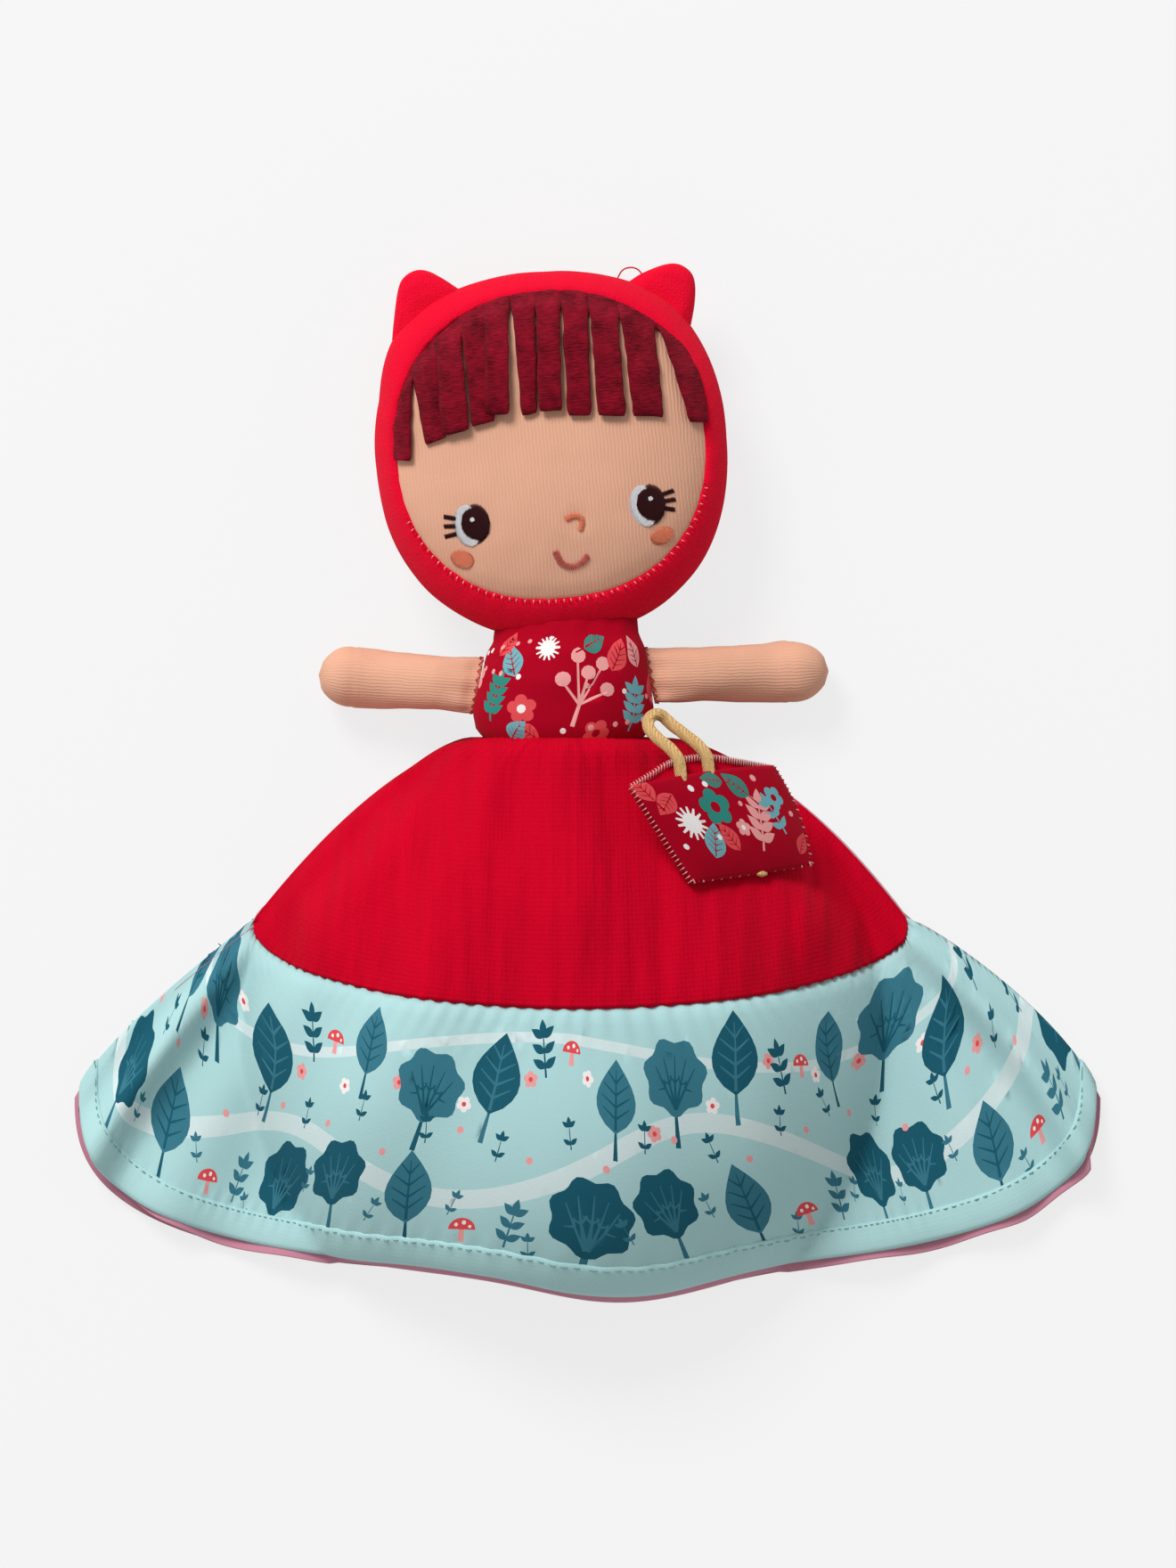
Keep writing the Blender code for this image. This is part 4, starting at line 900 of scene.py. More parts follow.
def make_face_hem(head):
    """Tiny stitches that catch the hood to the lower edge of the face."""
    stitches = Stitches(5)
    for i, phi in enumerate(steps(radians(-160.0), radians(-17.0), 96)):
        edge = head_polar(face_share(phi) + HOOD_START)
        wander = 0.0010 * noise.noise(Vector((i * 2.3, 0.0, 1.0)))
        near = head_point(phi, edge - (0.004 if i % 2 else 0.010), 0.0, -1.0)
        far = head_point(phi + 0.004, edge + 0.010, 0.0007, -1.0)
        route = [near.lerp(far, s) + Vector((wander, 0.0, 0.0004 * sin(pi * s))) for s in (0.0, 0.5, 1.0)]
        stitches.add([head.matrix @ point for point in route], FACE_HEM_THREAD, i % 2)
    stitches.piece(head.prefix + "face_hem_stitches", [thread("hood"), thread("blush", BLUSH)], head.body, "hood_red")


# Body and arms


def body_section(distance, head_middle):
    """Height of the body's middle, and its half width and thickness, at a distance from the waist."""
    wide, thick = between(BODY_SHARES, min(1.0, distance / BODY_LENGTH))
    wide, thick = wide * BODY_HALF_WIDTH, thick * BODY_HALF_THICKNESS
    if distance > BODY_LENGTH:
        share = smooth(distance, BODY_LENGTH, NECK_SEAM + 0.0010)
        wide, thick = mix(wide, NECK_HALF_WIDTH, share), mix(thick, NECK_HALF_THICKNESS, share)
    return BODY_MIDDLE + smooth(distance / NECK_SEAM) * (head_middle - BODY_MIDDLE), wide, thick


def make_bodice(head, name, inks, motifs, slot, nodes):
    """The bodice with its print, sewn at the sides and up into the head."""

    def surface(u, v):
        a = u / BODICE_AROUND * 2.0 * pi + pi / 2.0
        middle, wide, thick = body_section(v, head.middle)
        seam = -0.0006 * exp(-(cos(a) ** 2.0 - 1.0) ** 2.0 / 0.0006)
        out = 0.00045 * lump((cos(a) * wide, v, sin(a) * thick), 0.010, 6.6) + seam
        out += 0.00025 * sin(a * 17.0 + 3.0 * v / 0.01) * smooth(v, 0.022, BODICE_LENGTH)
        out -= 0.0005 * exp(-v / 0.0012)
        shift = tilt = 0.0
        if head.first:
            shift = NECK_SHIFT * smooth(v / NECK_SEAM)
            tilt = sin(HEAD_TILT) * smooth(v, 0.020, NECK_SEAM) * (cos(a) * wide)
        return Vector((shift + cos(a) * (wide + out), head.way * (v + tilt), middle + sin(a) * (thick + out)))

    mesh = printed_mesh(name, surface, lambda v: BODICE_AROUND / 2.0, (0.0, BODICE_LENGTH), BODICE_CELLS, motifs,
                        inks, not head.first)
    edit(mesh, lambda bm: bmesh.ops.remove_doubles(bm, verts=bm.verts, dist=2e-5))
    piece = finish_piece(mesh, None, slot, nodes, CLOTH)
    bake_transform(piece)


def make_arm(name, joint_name, body, length, heading, floor, nodes):
    """A stuffed jersey arm with wales along it and a seam on its edge."""
    joint = JOINTS[joint_name]
    origin, axis = Vector(joint["pos_m"]), Vector(joint["axis"])
    seam_angle, square = atan2(axis.y, axis.x), heading + pi / 2.0
    lean = min((seam_angle - pi, seam_angle, seam_angle + pi, seam_angle + 2.0 * pi), key=lambda a: abs(a - square))
    drop = origin.z - floor - ARM_HALF_THICKNESS + FLAT_DEPTH
    forward = Vector((cos(heading), sin(heading), 0.0))

    def place(a, t):
        wide, thick = between(ARM_SHARES, min(t, 0.9))
        if t > 0.80:
            wide = thick = sqrt(max(0.0, 1.0 - ((t - 0.80) / 0.2001) ** 2.2)) * 0.985
        half_thick = max(ARM_PINCH * (1.0 if t < 0.5 else 0.02), thick * ARM_HALF_THICKNESS)
        turn = mix(lean, square, smooth(t, 0.0, 0.28))
        across = Vector((cos(turn), sin(turn), 0.0))
        seam = 1.0 - 0.045 * exp(-(sin(a) / 0.10) ** 2.0)
        spot = forward * length * t + across * (wide * ARM_HALF_WIDTH) * cos(a) * seam
        spot.z = -ARM_PINCH - (drop - ARM_PINCH) * smooth(t / 0.76) + half_thick * sin(a) * seam
        crease = 0.00055 * lump(spot, 0.008, 3.3 + origin.x * 40.0) + 0.0006 * exp(-t * 9.0) * sin(a * 7.0 + 2.0)
        spot += (across * cos(a) + UP * sin(a)) * crease * smooth(t, 0.0, 0.05)
        spot.z = max(spot.z, floor - origin.z)
        return origin + spot, (a * ARM_HALF_WIDTH, t * length)

    rows, flat = swept(steps(0.0, TURN, ARM_CELLS[0]), steps(0.0, 1.0, ARM_CELLS[1]), place)
    middle = origin + forward * length / 2.0 + Vector((0.0, 0.0, -drop * 0.8))
    mesh = grid_mesh(name, rows, flat, cloth("skin"), looks_from(middle), True)
    piece = finish_piece(mesh, None, "skin_jersey", nodes, CLOTH)
    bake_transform(piece)
    return [row[:-1] for row in rows]


def make_arm_stitches(name, rows):
    """Red thread that scallops round the seam where an arm is sewn on."""
    stitches, count = Stitches(5), len(rows[0])
    for i in range(0, count, 2):
        here, there = rows[0][i], rows[0][(i + 2) % count]
        bulge = (here + there) / 2.0 + (rows[3][i] - rows[0][i]).normalized() * 0.0010
        lift = (bulge - sum(rows[1], Vector()) / count).normalized() * 0.0004
        stitches.add([here + lift, bulge + lift, there + lift], ARM_THREAD)
    stitches.piece(name, [thread("hood")], "root", "hood_red")


# Print


def printed_mesh(name, surface, half, span_v, cells, motifs, inks, flip=False):
    """Cut a flat cloth along the outlines of its motifs, and lay it on a surface; half gives its half width at v."""
    us, vs = steps(-1.0, 1.0, cells[0]), steps(*span_v, cells[1])
    points = [Vector((u * half(v), v)) for v in vs for u in us]
    wide, tall = len(us), len(vs)
    border = list(range(wide)) + [j * wide + wide - 1 for j in range(1, tall)]
    border += [(tall - 1) * wide + i for i in range(wide - 2, -1, -1)] + [j * wide for j in range(tall - 2, 0, -1)]
    polygons, owners = [border], [0]
    for ink, outline in motifs:
        polygons.append(list(range(len(points), len(points) + len(outline))))
        owners.append(ink)
        points += [Vector(p) for p in outline]
    made = delaunay_2d_cdt(points, [], polygons, 0, 1e-6, True)
    verts, faces, sources = made[0], made[2], made[5]
    kept = [(face[::-1] if flip else face, owners[max(source)]) for face, source in zip(faces, sources) if 0 in source]
    used = sorted({i for face, _ in kept for i in face})
    new_place = {old: i for i, old in enumerate(used)}
    flat = [(verts[i].x, verts[i].y) for i in used]
    return mesh_of(name, [surface(u, v) for u, v in flat], [tuple(new_place[i] for i in face) for face, _ in kept],
                   inks, flat, [ink for _, ink in kept])


def turned(outline, place, turn=0.0, size=1.0):
    c, s = cos(turn) * size, sin(turn) * size
    return [(place[0] + x * c - y * s, place[1] + x * s + y * c) for x, y in outline]


def put(parts, place, turn, size):
    """Lay the parts of a motif at its place in the print."""
    return [(ink, turned(outline, place, turn, size)) for ink, outline in parts]


def disc(radius, count=14):
    return [(radius * cos(a), radius * sin(a)) for a in turns(count)]


def leaf_outline(length, width, count=9):
    """A pointed leaf that grows along +v from its foot."""
    side = [(width / 2.0 * sin(pi * (i / count) ** 0.8), length * i / count) for i in range(count + 1)]
    return side + [(-x, y) for x, y in reversed(side[1:-1])]


def across_run(start, end, width):
    """Half a width, square to the way from start to end."""
    angle = atan2(end[1] - start[1], end[0] - start[0]) + pi / 2.0
    return cos(angle) * width / 2.0, sin(angle) * width / 2.0


def bar(start, end, width, taper=0.5):
    c, s = across_run(start, end, width)
    return [(start[0] - c, start[1] - s), (end[0] - c * taper, end[1] - s * taper),
            (end[0] + c * taper, end[1] + s * taper), (start[0] + c, start[1] + s)]


def ribbon(route, width):
    left, right = [], []
    for i, (x, y) in enumerate(route):
        c, s = across_run(route[max(i - 1, 0)], route[min(i + 1, len(route) - 1)], width)
        left.append((x + c, y + s))
        right.append((x - c, y - s))
    return right + left[::-1]


def broad_leaf(body, vein):
    """A broad leaf on a short stalk, with veins in a second ink."""
    made = [(vein, bar((0.0, -0.36), (0.0, 0.05), 0.07)), (body, leaf_outline(1.0, 0.66)),
            (vein, bar((0.0, 0.05), (0.0, 0.86), 0.045, 0.3))]
    for level in (0.20, 0.36, 0.52, 0.68):
        wide = 0.24 * sin(pi * (level + 0.08) ** 0.8)
        made += [(vein, bar((0.0, level), (side * wide, level + 0.15), 0.034, 0.4)) for side in (-1.0, 1.0)]
    return made


def round_leaf(body, vein):
    """A round lobed leaf with a fan of veins."""
    rim = []
    for a in turns(40):
        reach = 0.44 * (1.0 + 0.085 * cos(7.0 * a))
        rim.append((reach * sin(a), 0.5 - reach * cos(a)))
    made = [(vein, bar((0.0, -0.34), (0.0, 0.12), 0.075)), (body, rim)]
    for angle in (-1.0, -0.5, 0.0, 0.5, 1.0):
        end = (0.34 * sin(angle), 0.44 + 0.32 * cos(angle))
        side = (end[0] / 2.0, (0.12 + end[1]) / 2.0)
        made.append((vein, bar((0.0, 0.12), end, 0.042, 0.3)))
        for turn in (angle - 0.8, angle + 0.8):
            made.append((vein, bar(side, (side[0] + 0.11 * sin(turn), side[1] + 0.11 * cos(turn)), 0.030, 0.4)))
    return made


def sprig(ink, pairs=3):
    """A small sprig of paired leaflets."""
    made = [bar((0.0, 0.0), (0.0, 0.85), 0.05, 0.5), turned(leaf_outline(0.32, 0.17), (0.0, 0.80))]
    for i in range(pairs):
        level = 0.18 + 0.58 * i / max(1, pairs - 1)
        made += [turned(leaf_outline(0.34, 0.17), (0.0, level), side * -0.95) for side in (-1.0, 1.0)]
    return [(ink, outline) for outline in made]


def toadstool(cap, stem, dots):
    made = [(stem, [(-0.12, 0.0), (0.12, 0.0), (0.09, 0.46), (-0.09, 0.46)]),
            (cap, [(0.46 * cos(a), 0.42 + 0.40 * sin(a)) for a in steps(0.0, pi, 14)])]
    spots = ((-0.20, 0.58, 0.065), (0.06, 0.66, 0.075), (0.27, 0.53, 0.055))
    return made + [(dots, turned(disc(r, 9), (x, y))) for x, y, r in spots]


def blossom(petals, middle, count=5):
    made = [(petals, turned(disc(0.21, 12), (0.29 * cos(a), 0.29 * sin(a)))) for a in turns(count)]
    return made + [(middle, disc(0.15, 10))]


def rayed_flower(ink, rays=14):
    rim = []
    for i in range(rays * 2):
        a = pi * i / rays
        reach = 0.30 if i % 2 else 0.5
        rim += [(reach * cos(a - 0.06), reach * sin(a - 0.06)), (reach * cos(a + 0.06), reach * sin(a + 0.06))]
    return [(ink, rim)]


def berries(stem, ink):
    ends = ((-0.28, 0.55, 0.58), (0.28, 0.55, 0.58), (-0.16, 0.86, 0.90), (0.18, 0.88, 0.92), (0.0, 0.70, 0.74))
    made = [(stem, bar((0.0, 0.0), (0.0, 0.62), 0.05, 0.6))]
    made += [(stem, bar((0.0, 0.30), (x, y), 0.035, 0.8)) for x, y, _ in ends]
    return made + [(ink, turned(disc(0.095, 10), (x, y))) for x, _, y in ends]


# Skirt


def skirt_row(across, run):
    """Middle, half width, depth and sweep of a row: run is 0 at the waist, 1 at the seam, 2 at the hem."""
    powers, part = (GAUZE_SPREAD_POWERS, run) if run <= 1.0 else (BORDER_SPREAD_POWERS, run - 1.0)
    spread = part ** mix(*powers, (1.0 + across) / 2.0)
    if run <= 1.0:
        return (SEAM_MIDDLE[0] * run, SEAM_MIDDLE[1] * run, mix(WAIST_HALF_WIDTH, SEAM_HALF_WIDTH, spread),
                SEAM_DEPTH * run, mix(pi / 2.0, SEAM_SWEEP, run))
    return (mix(SEAM_MIDDLE[0], HEM_MIDDLE[0], part), mix(SEAM_MIDDLE[1], HEM_MIDDLE[1], part),
            mix(SEAM_HALF_WIDTH, HEM_HALF_WIDTH, spread), mix(SEAM_DEPTH, HEM_DEPTH, part),
            SEAM_SWEEP + (HEM_SWEEP - SEAM_SWEEP) * part * part)


def skirt_plan(across, run):
    """Plan of the skirt: rows that turn from round at the seam to squarer at the waving hem."""
    x, y, wide, deep, sweep = skirt_row(across, run)
    part = max(0.0, run - 1.0)
    power = 2.0 / (2.0 + (HEM_SQUARENESS - 2.0) * part)
    side, front = sin(across * sweep), cos(across * sweep)
    x += wide * bent(side, power)
    off = (x - HEM_WAVE_X) / HEM_WAVE_SPREAD
    lift = WAIST_OVERLAP * (1.0 - min(1.0, run / 0.125)) - HEM_WAVE * part * exp(-off * off)
    return x, y + lift - deep * bent(front, power)


def drape_bump(distance, reach, height):
    return height * max(0.0, 1.0 - (distance / reach) ** 3.0)


def segment_distance(x, y, start, end):
    """How far along a segment the place nearest to a point is, and how far off the point is."""
    run = (end[0] - start[0], end[1] - start[1])
    share = ((x - start[0]) * run[0] + (y - start[1]) * run[1]) / (run[0] ** 2 + run[1] ** 2)
    share = min(1.0, max(0.0, share))
    return share, hypot(x - start[0] - run[0] * share, y - start[1] - run[1] * share)


def drape_height(x, y):
    """Height of the skirt where it lies over the second doll."""
    room = STACK + 0.0020
    head_top = SECOND_HEAD_MIDDLE + HEAD_HALF_THICKNESS + 0.0022 + room
    heights = [drape_bump(hypot(x, y + NECK_SEAM + NECK_TO_MIDDLE), 1.9 * HEAD_HALF_WIDTH, head_top)]
    _, off = segment_distance(x, y, (0.0, NECK_SEAM), (0.0, -NECK_SEAM))
    heights.append(drape_bump(off, 1.75 * BODY_HALF_WIDTH, BODY_MIDDLE + BODY_HALF_THICKNESS + room))
    hand_top = SECOND_FLOOR + 2.0 * ARM_HALF_THICKNESS + 0.0030 + room
    reach = cos(radians(45.0)) * SECOND_ARM_LENGTH
    for side in (-1.0, 1.0):
        root = (side * BODY_HALF_WIDTH, -0.0175)
        share, off = segment_distance(x, y, root, (root[0] + side * reach, root[1] - reach))
        heights.append(drape_bump(off, 2.4 * ARM_HALF_WIDTH, hand_top + 0.0035 * (1.0 - share)))
    heights.append(2.0 * STACK + GAP)
    return sum(height ** 6.0 for height in heights) ** (1.0 / 6.0)


def skirt_base(across, run):
    """The draped skirt of the frame, without its small creases."""
    x, y = skirt_plan(across, run)
    edge = STACK + GAP + STACK * smooth(run / 0.15)
    fall = max(0.0, cos(across * pi / 2.0)) ** (0.35 - 0.23 * smooth(run / 0.6))
    depth = 0.0007 + 0.0012 * run / 2.0
    fold = depth * cos(7.0 * pi * across) * (1.0 - across ** 4.0)
    off = (abs(across) - 0.83) / 0.075
    ridge = 0.0050 * exp(-off * off) * smooth((run - 0.85) / 0.6)
    return Vector((x, y, max(edge, edge + (drape_height(x, y) - edge) * fall + ridge + fold + depth * fall)))


def skirt_surface(across, run, inset=0.0, detail=None):
    """A point on the skirt, with creases along the normal, moved in by an inset."""
    across, step = min(1.0, max(-1.0, across)), 0.004
    point = skirt_base(across, run)
    side = skirt_base(min(1.0, across + step), run) - skirt_base(max(-1.0, across - step), run)
    down = skirt_base(across, run + step) - skirt_base(across, max(0.0, run - step))
    normal = down.cross(side)
    normal = normal.normalized() if normal.length > 1e-12 else UP.copy()
    if normal.z < 0.0:
        normal.negate()
    out = detail(across, run, point) if detail else 0.0
    return point + normal * (out - inset)


def gathered(point, run, under):
    """A point of the skirt drawn in to a little under the body's cloth, where the waist is gathered."""
    _, wide, thick = body_section(WAIST_OVERLAP, FIRST_HEAD_MIDDLE)
    x, z = point.x, point.z - BODY_MIDDLE
    skin = min(1.0, 1.0 / hypot(x / wide, z / thick) - under / hypot(x, z))
    scale = 1.0 + (skin - 1.0) * exp(-run / 0.020) * smooth(z, -thick, 0.0)
    return Vector((x * scale, point.y, BODY_MIDDLE + z * scale))


class Row:
    """One row of the skirt, by the length along it from its middle."""

    def __init__(self, run, count=400):
        self.marks = steps(-1.0, 1.0, count)
        points = [skirt_base(across, run) for across in self.marks]
        lengths = [0.0]
        for here, there in zip(points, points[1:]):
            lengths.append(lengths[-1] + (there - here).length)
        self.lengths = np.array(lengths) - np.interp(0.0, self.marks, lengths)
        self.half = float(self.lengths[-1])

    def across(self, u):
        """The share across the skirt at a length from the row's middle."""
        return float(np.interp(u, self.lengths, self.marks))

    def cloth(self, count, runs, place):
        """Points and cloth coordinates of a cloth, spaced evenly along this row; place gives both."""
        return swept(steps(-self.half, self.half, count), runs, lambda u, run: place(u, self.across(u), run))


def gauze_creases(across, run, point):
    """Long soft crinkles down the gauze, pulled in at the waist and along the seam below."""
    out = 0.00070 * lump((point.x, point.y * 0.10, 0.0), 0.0034, 2.7)
    out += 0.0009 * lump((point.x, point.y * 0.5, 0.0), 0.019, 5.1)
    out *= (1.0 - 0.85 * exp(-abs(1.0 - run) / 0.03)) * (1.0 - 0.8 * exp(-run / 0.02))
    out += 0.00025 * sin(across * 110.0 + 5.0 * lump(point, 0.02)) * exp(-run / 0.05)
    out += 0.0003 * sin(across * 210.0) * exp(-abs(1.0 - run) / 0.03)
    return (out - 0.0003 * exp(-abs(1.0 - run) / 0.02)) * (1.0 - abs(across) ** 8.0)


def border_creases(across, run, point):
    """Soft folds of the border, puckered along its seam and its hem."""
    out = 0.0009 * lump((point.x, point.y * 0.5, 0.0), 0.024, 8.8) * (1.0 - 0.85 * exp(-abs(1.0 - run) / 0.03))
    out += 0.00035 * sin(across * 190.0 + 4.0 * lump(point, 0.03)) * exp(-(run - 1.0) / 0.10)
    out -= 0.0007 * exp(-(run - 1.0) / 0.025) + 0.0006 * exp(-(run - 0.992) / 0.006)
    out += 0.0003 * sin(across * 260.0 + 5.0 * lump(point, 0.03, 2.0)) * exp(-((run - 1.89) / 0.035) ** 2.0)
    return out * (1.0 - abs(across) ** 8.0)


def declare_sheet(piece):
    """Read a sheet's cloth coordinates into a table; nothing is done with them."""
    mesh = piece.data
    layer = mesh.uv_layers["Cloth"].data
    table = np.zeros(len(layer) * 2, np.float32)
    layer.foreach_get("uv", table)
    table = table.reshape(-1, 2)


GAUZE_RUNS = [0.0, 0.004, 0.009] + steps(0.016, 0.98, 62) + [0.986, 0.990, 0.993, 0.996, 0.999, 1.002]


def make_skirt_top():
    """The crinkled gauze of the skirt, from the waist to the border's seam."""

    def place(u, across, run):
        tucked = 0.0011 * smooth(run, 0.990, 1.002)
        point = gathered(skirt_surface(across, run, tucked, gauze_creases), run, 0.0006)
        return point, (point.x * (1.12 - 0.12 * run), -run * CLOTH_PER_RUN)

    mesh = grid_mesh("gauze_skirt", *Row(0.7).cloth(GAUZE_COLUMNS, GAUZE_RUNS, place), cloth("skirt"))
    piece = finish_piece(mesh, "root", "skirt_red", ["skirt_top_front"], CLOTH)
    declare_sheet(piece)


# Where the border's larger motifs stand, for each of four turns: the line they are on, how far from its place
# across and along, their share of that place's lean, a turn of their own, their size, and the motif with its inks
TEAL, DEEP, PALE, CORAL, PINK, WHITE = 1, 2, 3, 4, 5, 6
BORDER_TURNS = (
    (("high", 0.0, -0.006, 1.0, 0.0, 0.0165, broad_leaf, TEAL, DEEP),
     ("low", 0.0, -0.002, -1.0, 0.0, 0.0175, round_leaf, DEEP, TEAL)),
    (("high", 0.0, -0.008, -1.0, 0.0, 0.0190, round_leaf, TEAL, DEEP),
     ("low", 0.0, 0.0, 1.0, 0.0, 0.0180, broad_leaf, TEAL, DEEP)),
    (("high", 0.0, -0.008, 1.0, 0.0, 0.0195, broad_leaf, DEEP, TEAL),
     ("low", 0.0040, 0.0, 1.0, 0.0, 0.0110, sprig, TEAL),
     ("low", -0.0060, 0.0, 0.0, 0.1, 0.0072, toadstool, CORAL, PINK, WHITE)),
    (("high", -0.0025, -0.002, 1.0, 0.0, 0.0120, sprig, DEEP),
     ("high", 0.0048, 0.001, 0.0, -0.1, 0.0068, toadstool, CORAL, PINK, WHITE),
     ("low", 0.0, -0.004, -1.0, 0.0, 0.0200, round_leaf, DEEP, TEAL)))
BORDER_PLACES = 15


def border_motifs(half_at):
    """The border's generic print: wavy ribbons, broad leaves, sprigs, toadstools and blossoms."""
    height, wide = BORDER_HEIGHT, half_at(-BORDER_HEIGHT) * 1.02
    broad = [(u, height * (-0.62 + 0.13 * sin(u / 0.0185) + 0.07 * sin(u / 0.041 + 1.0)))
             for u in steps(-wide, wide, 120)]
    narrow = [(u, height * (-0.20 + 0.09 * sin(u / 0.027 + 2.0))) for u in steps(-wide, wide, 100)]
    made = [(PALE, ribbon(broad, 0.0046)), (PALE, ribbon(narrow, 0.0024))]
    for i in range(BORDER_PLACES + 1):
        share = 0.94 * (-1.0 + 2.0 * i / BORDER_PLACES)
        lean = 0.16 * sin(i * 2.9)
        high = (share * half_at(-0.3 * height), height * (-0.28 + 0.07 * sin(i * 2.1)))
        mid = (share * half_at(-0.5 * height), -0.53 * height)
        low = ((share + 0.9 / BORDER_PLACES) * half_at(-0.85 * height), height * (-0.84 + 0.05 * sin(i * 1.7 + 1.0)))
        for line, off_u, off_v, leaning, turn, size, motif, *inks in BORDER_TURNS[i % 4]:
            u, v = high if line == "high" else low
            made += put(motif(*inks), (u + off_u, v + off_v), leaning * lean + turn, size)
        made += put(blossom(WHITE if i % 2 else PINK, CORAL),
                    (high[0] + 0.0105, high[1] + 0.004 * sin(i * 1.3) - 0.003), i * 0.7, 0.0040)
        made += put(sprig(DEEP, 2), (mid[0] + 0.0062, mid[1] + 0.003 * sin(i * 1.9)), 0.5 * sin(i * 3.1), 0.0068)
        made += put(sprig(TEAL, 2), (low[0] + 0.0098, low[1] + 0.004 * sin(i * 2.7)), 0.4 * sin(i * 1.1), 0.0060)
        made.append((PINK, turned(disc(0.0009, 10), (mid[0] - 0.0042, mid[1] + 0.004 * sin(i * 2.3)))))
    return made


# Each row of the hem's fold, and how far it stands off the border
HEM_ROWS = ((1.890, -0.0002), (1.893, 0.0004), (1.91, 0.0006), (1.95, 0.0006), (1.985, 0.0005), (2.0, 0.0001),
            (2.004, -0.0007))


def make_border():
    """The printed border, its turned hem and its running stitch."""
    row, runs = Row(1.5), steps(1.0, 2.0, 10)
    halves = [Row(run, 100).half for run in runs]

    def half_at(v):
        return float(np.interp(1.0 - v / BORDER_HEIGHT, runs, halves))

    def surface(u, v):
        across = row.across(u / half_at(v) * row.half)
        return skirt_surface(across, 0.992 - v / BORDER_HEIGHT, 0.0, border_creases)

    def place(u, across, mark):
        return skirt_surface(across, mark[0], -mark[1], border_creases), (u, -0.064 + 0.001 * HEM_ROWS.index(mark))

    inks = print_cloths("border", "aqua", "teal", "deep_teal", "ribbon", "coral_ink", "pink_ink", "white_ink")
    mesh = face_out(printed_mesh("border", surface, half_at, (-BORDER_HEIGHT, 0.0), BORDER_CELLS,
                                 border_motifs(half_at), inks))
    piece = finish_piece(mesh, "root", "border_print", ["border_front"], CLOTH)
    declare_sheet(piece)
    hem = grid_mesh("hem_fold", *row.cloth(BORDER_CELLS[0], HEM_ROWS, place), print_cloths("border", "hem")[0])
    finish_piece(hem, "root", "border_print", (), 0.0004)
    stitches, pitch = Stitches(5), bpy.context.scene.doll_sizes.hem_stitch
    for i in range(int(2.0 * row.half / pitch)):
        u = -row.half + (i + 0.2) * pitch
        stitches.add([skirt_surface(row.across(u + s * pitch * 0.66), 1.902, -0.0004 - 0.0003 * sin(pi * s),
                                    border_creases) for s in steps(0.0, 1.0, 4)], HEM_THREAD)
    stitches.piece("hem_stitches", [thread("aqua", colour("hem_thread"))], "root", "border_print")


def make_lining():
    """The pink lining under the whole skirt front, which shows at the hem."""

    def place(u, across, run):
        wave = 0.0006 * sin(across * 31.0 + 2.0) * smooth(run, 1.9, 2.03) + 0.0010 * exp(-abs(run - 1.0) / 0.03)
        shown = smooth(across, -0.80, -0.40) * (1.0 - 0.6 * smooth(across, 0.85, 1.0))
        reach = min(run, 2.0) - 0.004 + (max(run, 2.0) - 1.996 + wave * 8.0 * smooth(run, 1.95, 2.03)) * shown
        wave += 0.0005 * smooth(abs(across), 0.80, 0.88) * (1.0 - smooth(abs(across), 0.96, 1.0))
        point = skirt_surface(across, max(0.022, reach), CLOTH + GAP + wave)
        return gathered(point, run, 0.0018), (u, -run * CLOTH_PER_RUN)

    runs = steps(0.0, 2.0, 60) + [2.012, 2.028, 2.033]
    mesh = grid_mesh("skirt_lining", *Row(1.6).cloth(LINING_COLUMNS, runs, place), cloth("lining"))
    piece = finish_piece(mesh, "root", "pink_lining", ["lining_front"], CLOTH)
    declare_sheet(piece)


def make_backs():
    """The flat back of the skirt: gauze, border and lining, each between two runs."""
    for name, node, material, start, end, low, slot in (
            ("gauze_back", "skirt_top_back", cloth("skirt"), 0.0, 0.996, 0.0, "skirt_red"),
            ("border_back_sheet", "border_back", print_cloths("border", "aqua")[0], 1.004, 2.0, 0.0, "border_print"),
            ("lining_back_sheet", "lining_back", cloth("lining"), 0.0, 2.03, CLOTH + GAP, "pink_lining")):

        def place(across, run):
            x, y = skirt_plan(across, run)
            ripple = 0.00012 * lump((x, y, 0.0), 0.011, 4.1)
            return Vector((x, y, low + 0.00015 + ripple)), (x, y)

        rows, flat = swept(steps(-1.0, 1.0, BACK_CELLS[0]), steps(start, end, BACK_CELLS[1]), place)
        piece = finish_piece(grid_mesh(name, rows, flat, material, looks_down), "root", slot, [node], CLOTH * 0.7)
        declare_sheet(piece)


# Bag


def bag_frame():
    """The bag's own directions, from its hinge and its flat back in the frame."""
    joint = JOINTS["bag_swing"]
    across = -Vector(joint["axis"]).normalized()
    faces = frame["nodes"]["bag_back"].data.polygons
    widest = max(faces, key=lambda face: face.area * (1.0 if face.normal.z > 0.0 else 0.5))
    normal = widest.normal.normalized()
    matrix = Matrix((across, normal.cross(across).normalized(), normal)).transposed().to_4x4()
    matrix.translation = Vector(joint["pos_m"])
    return matrix


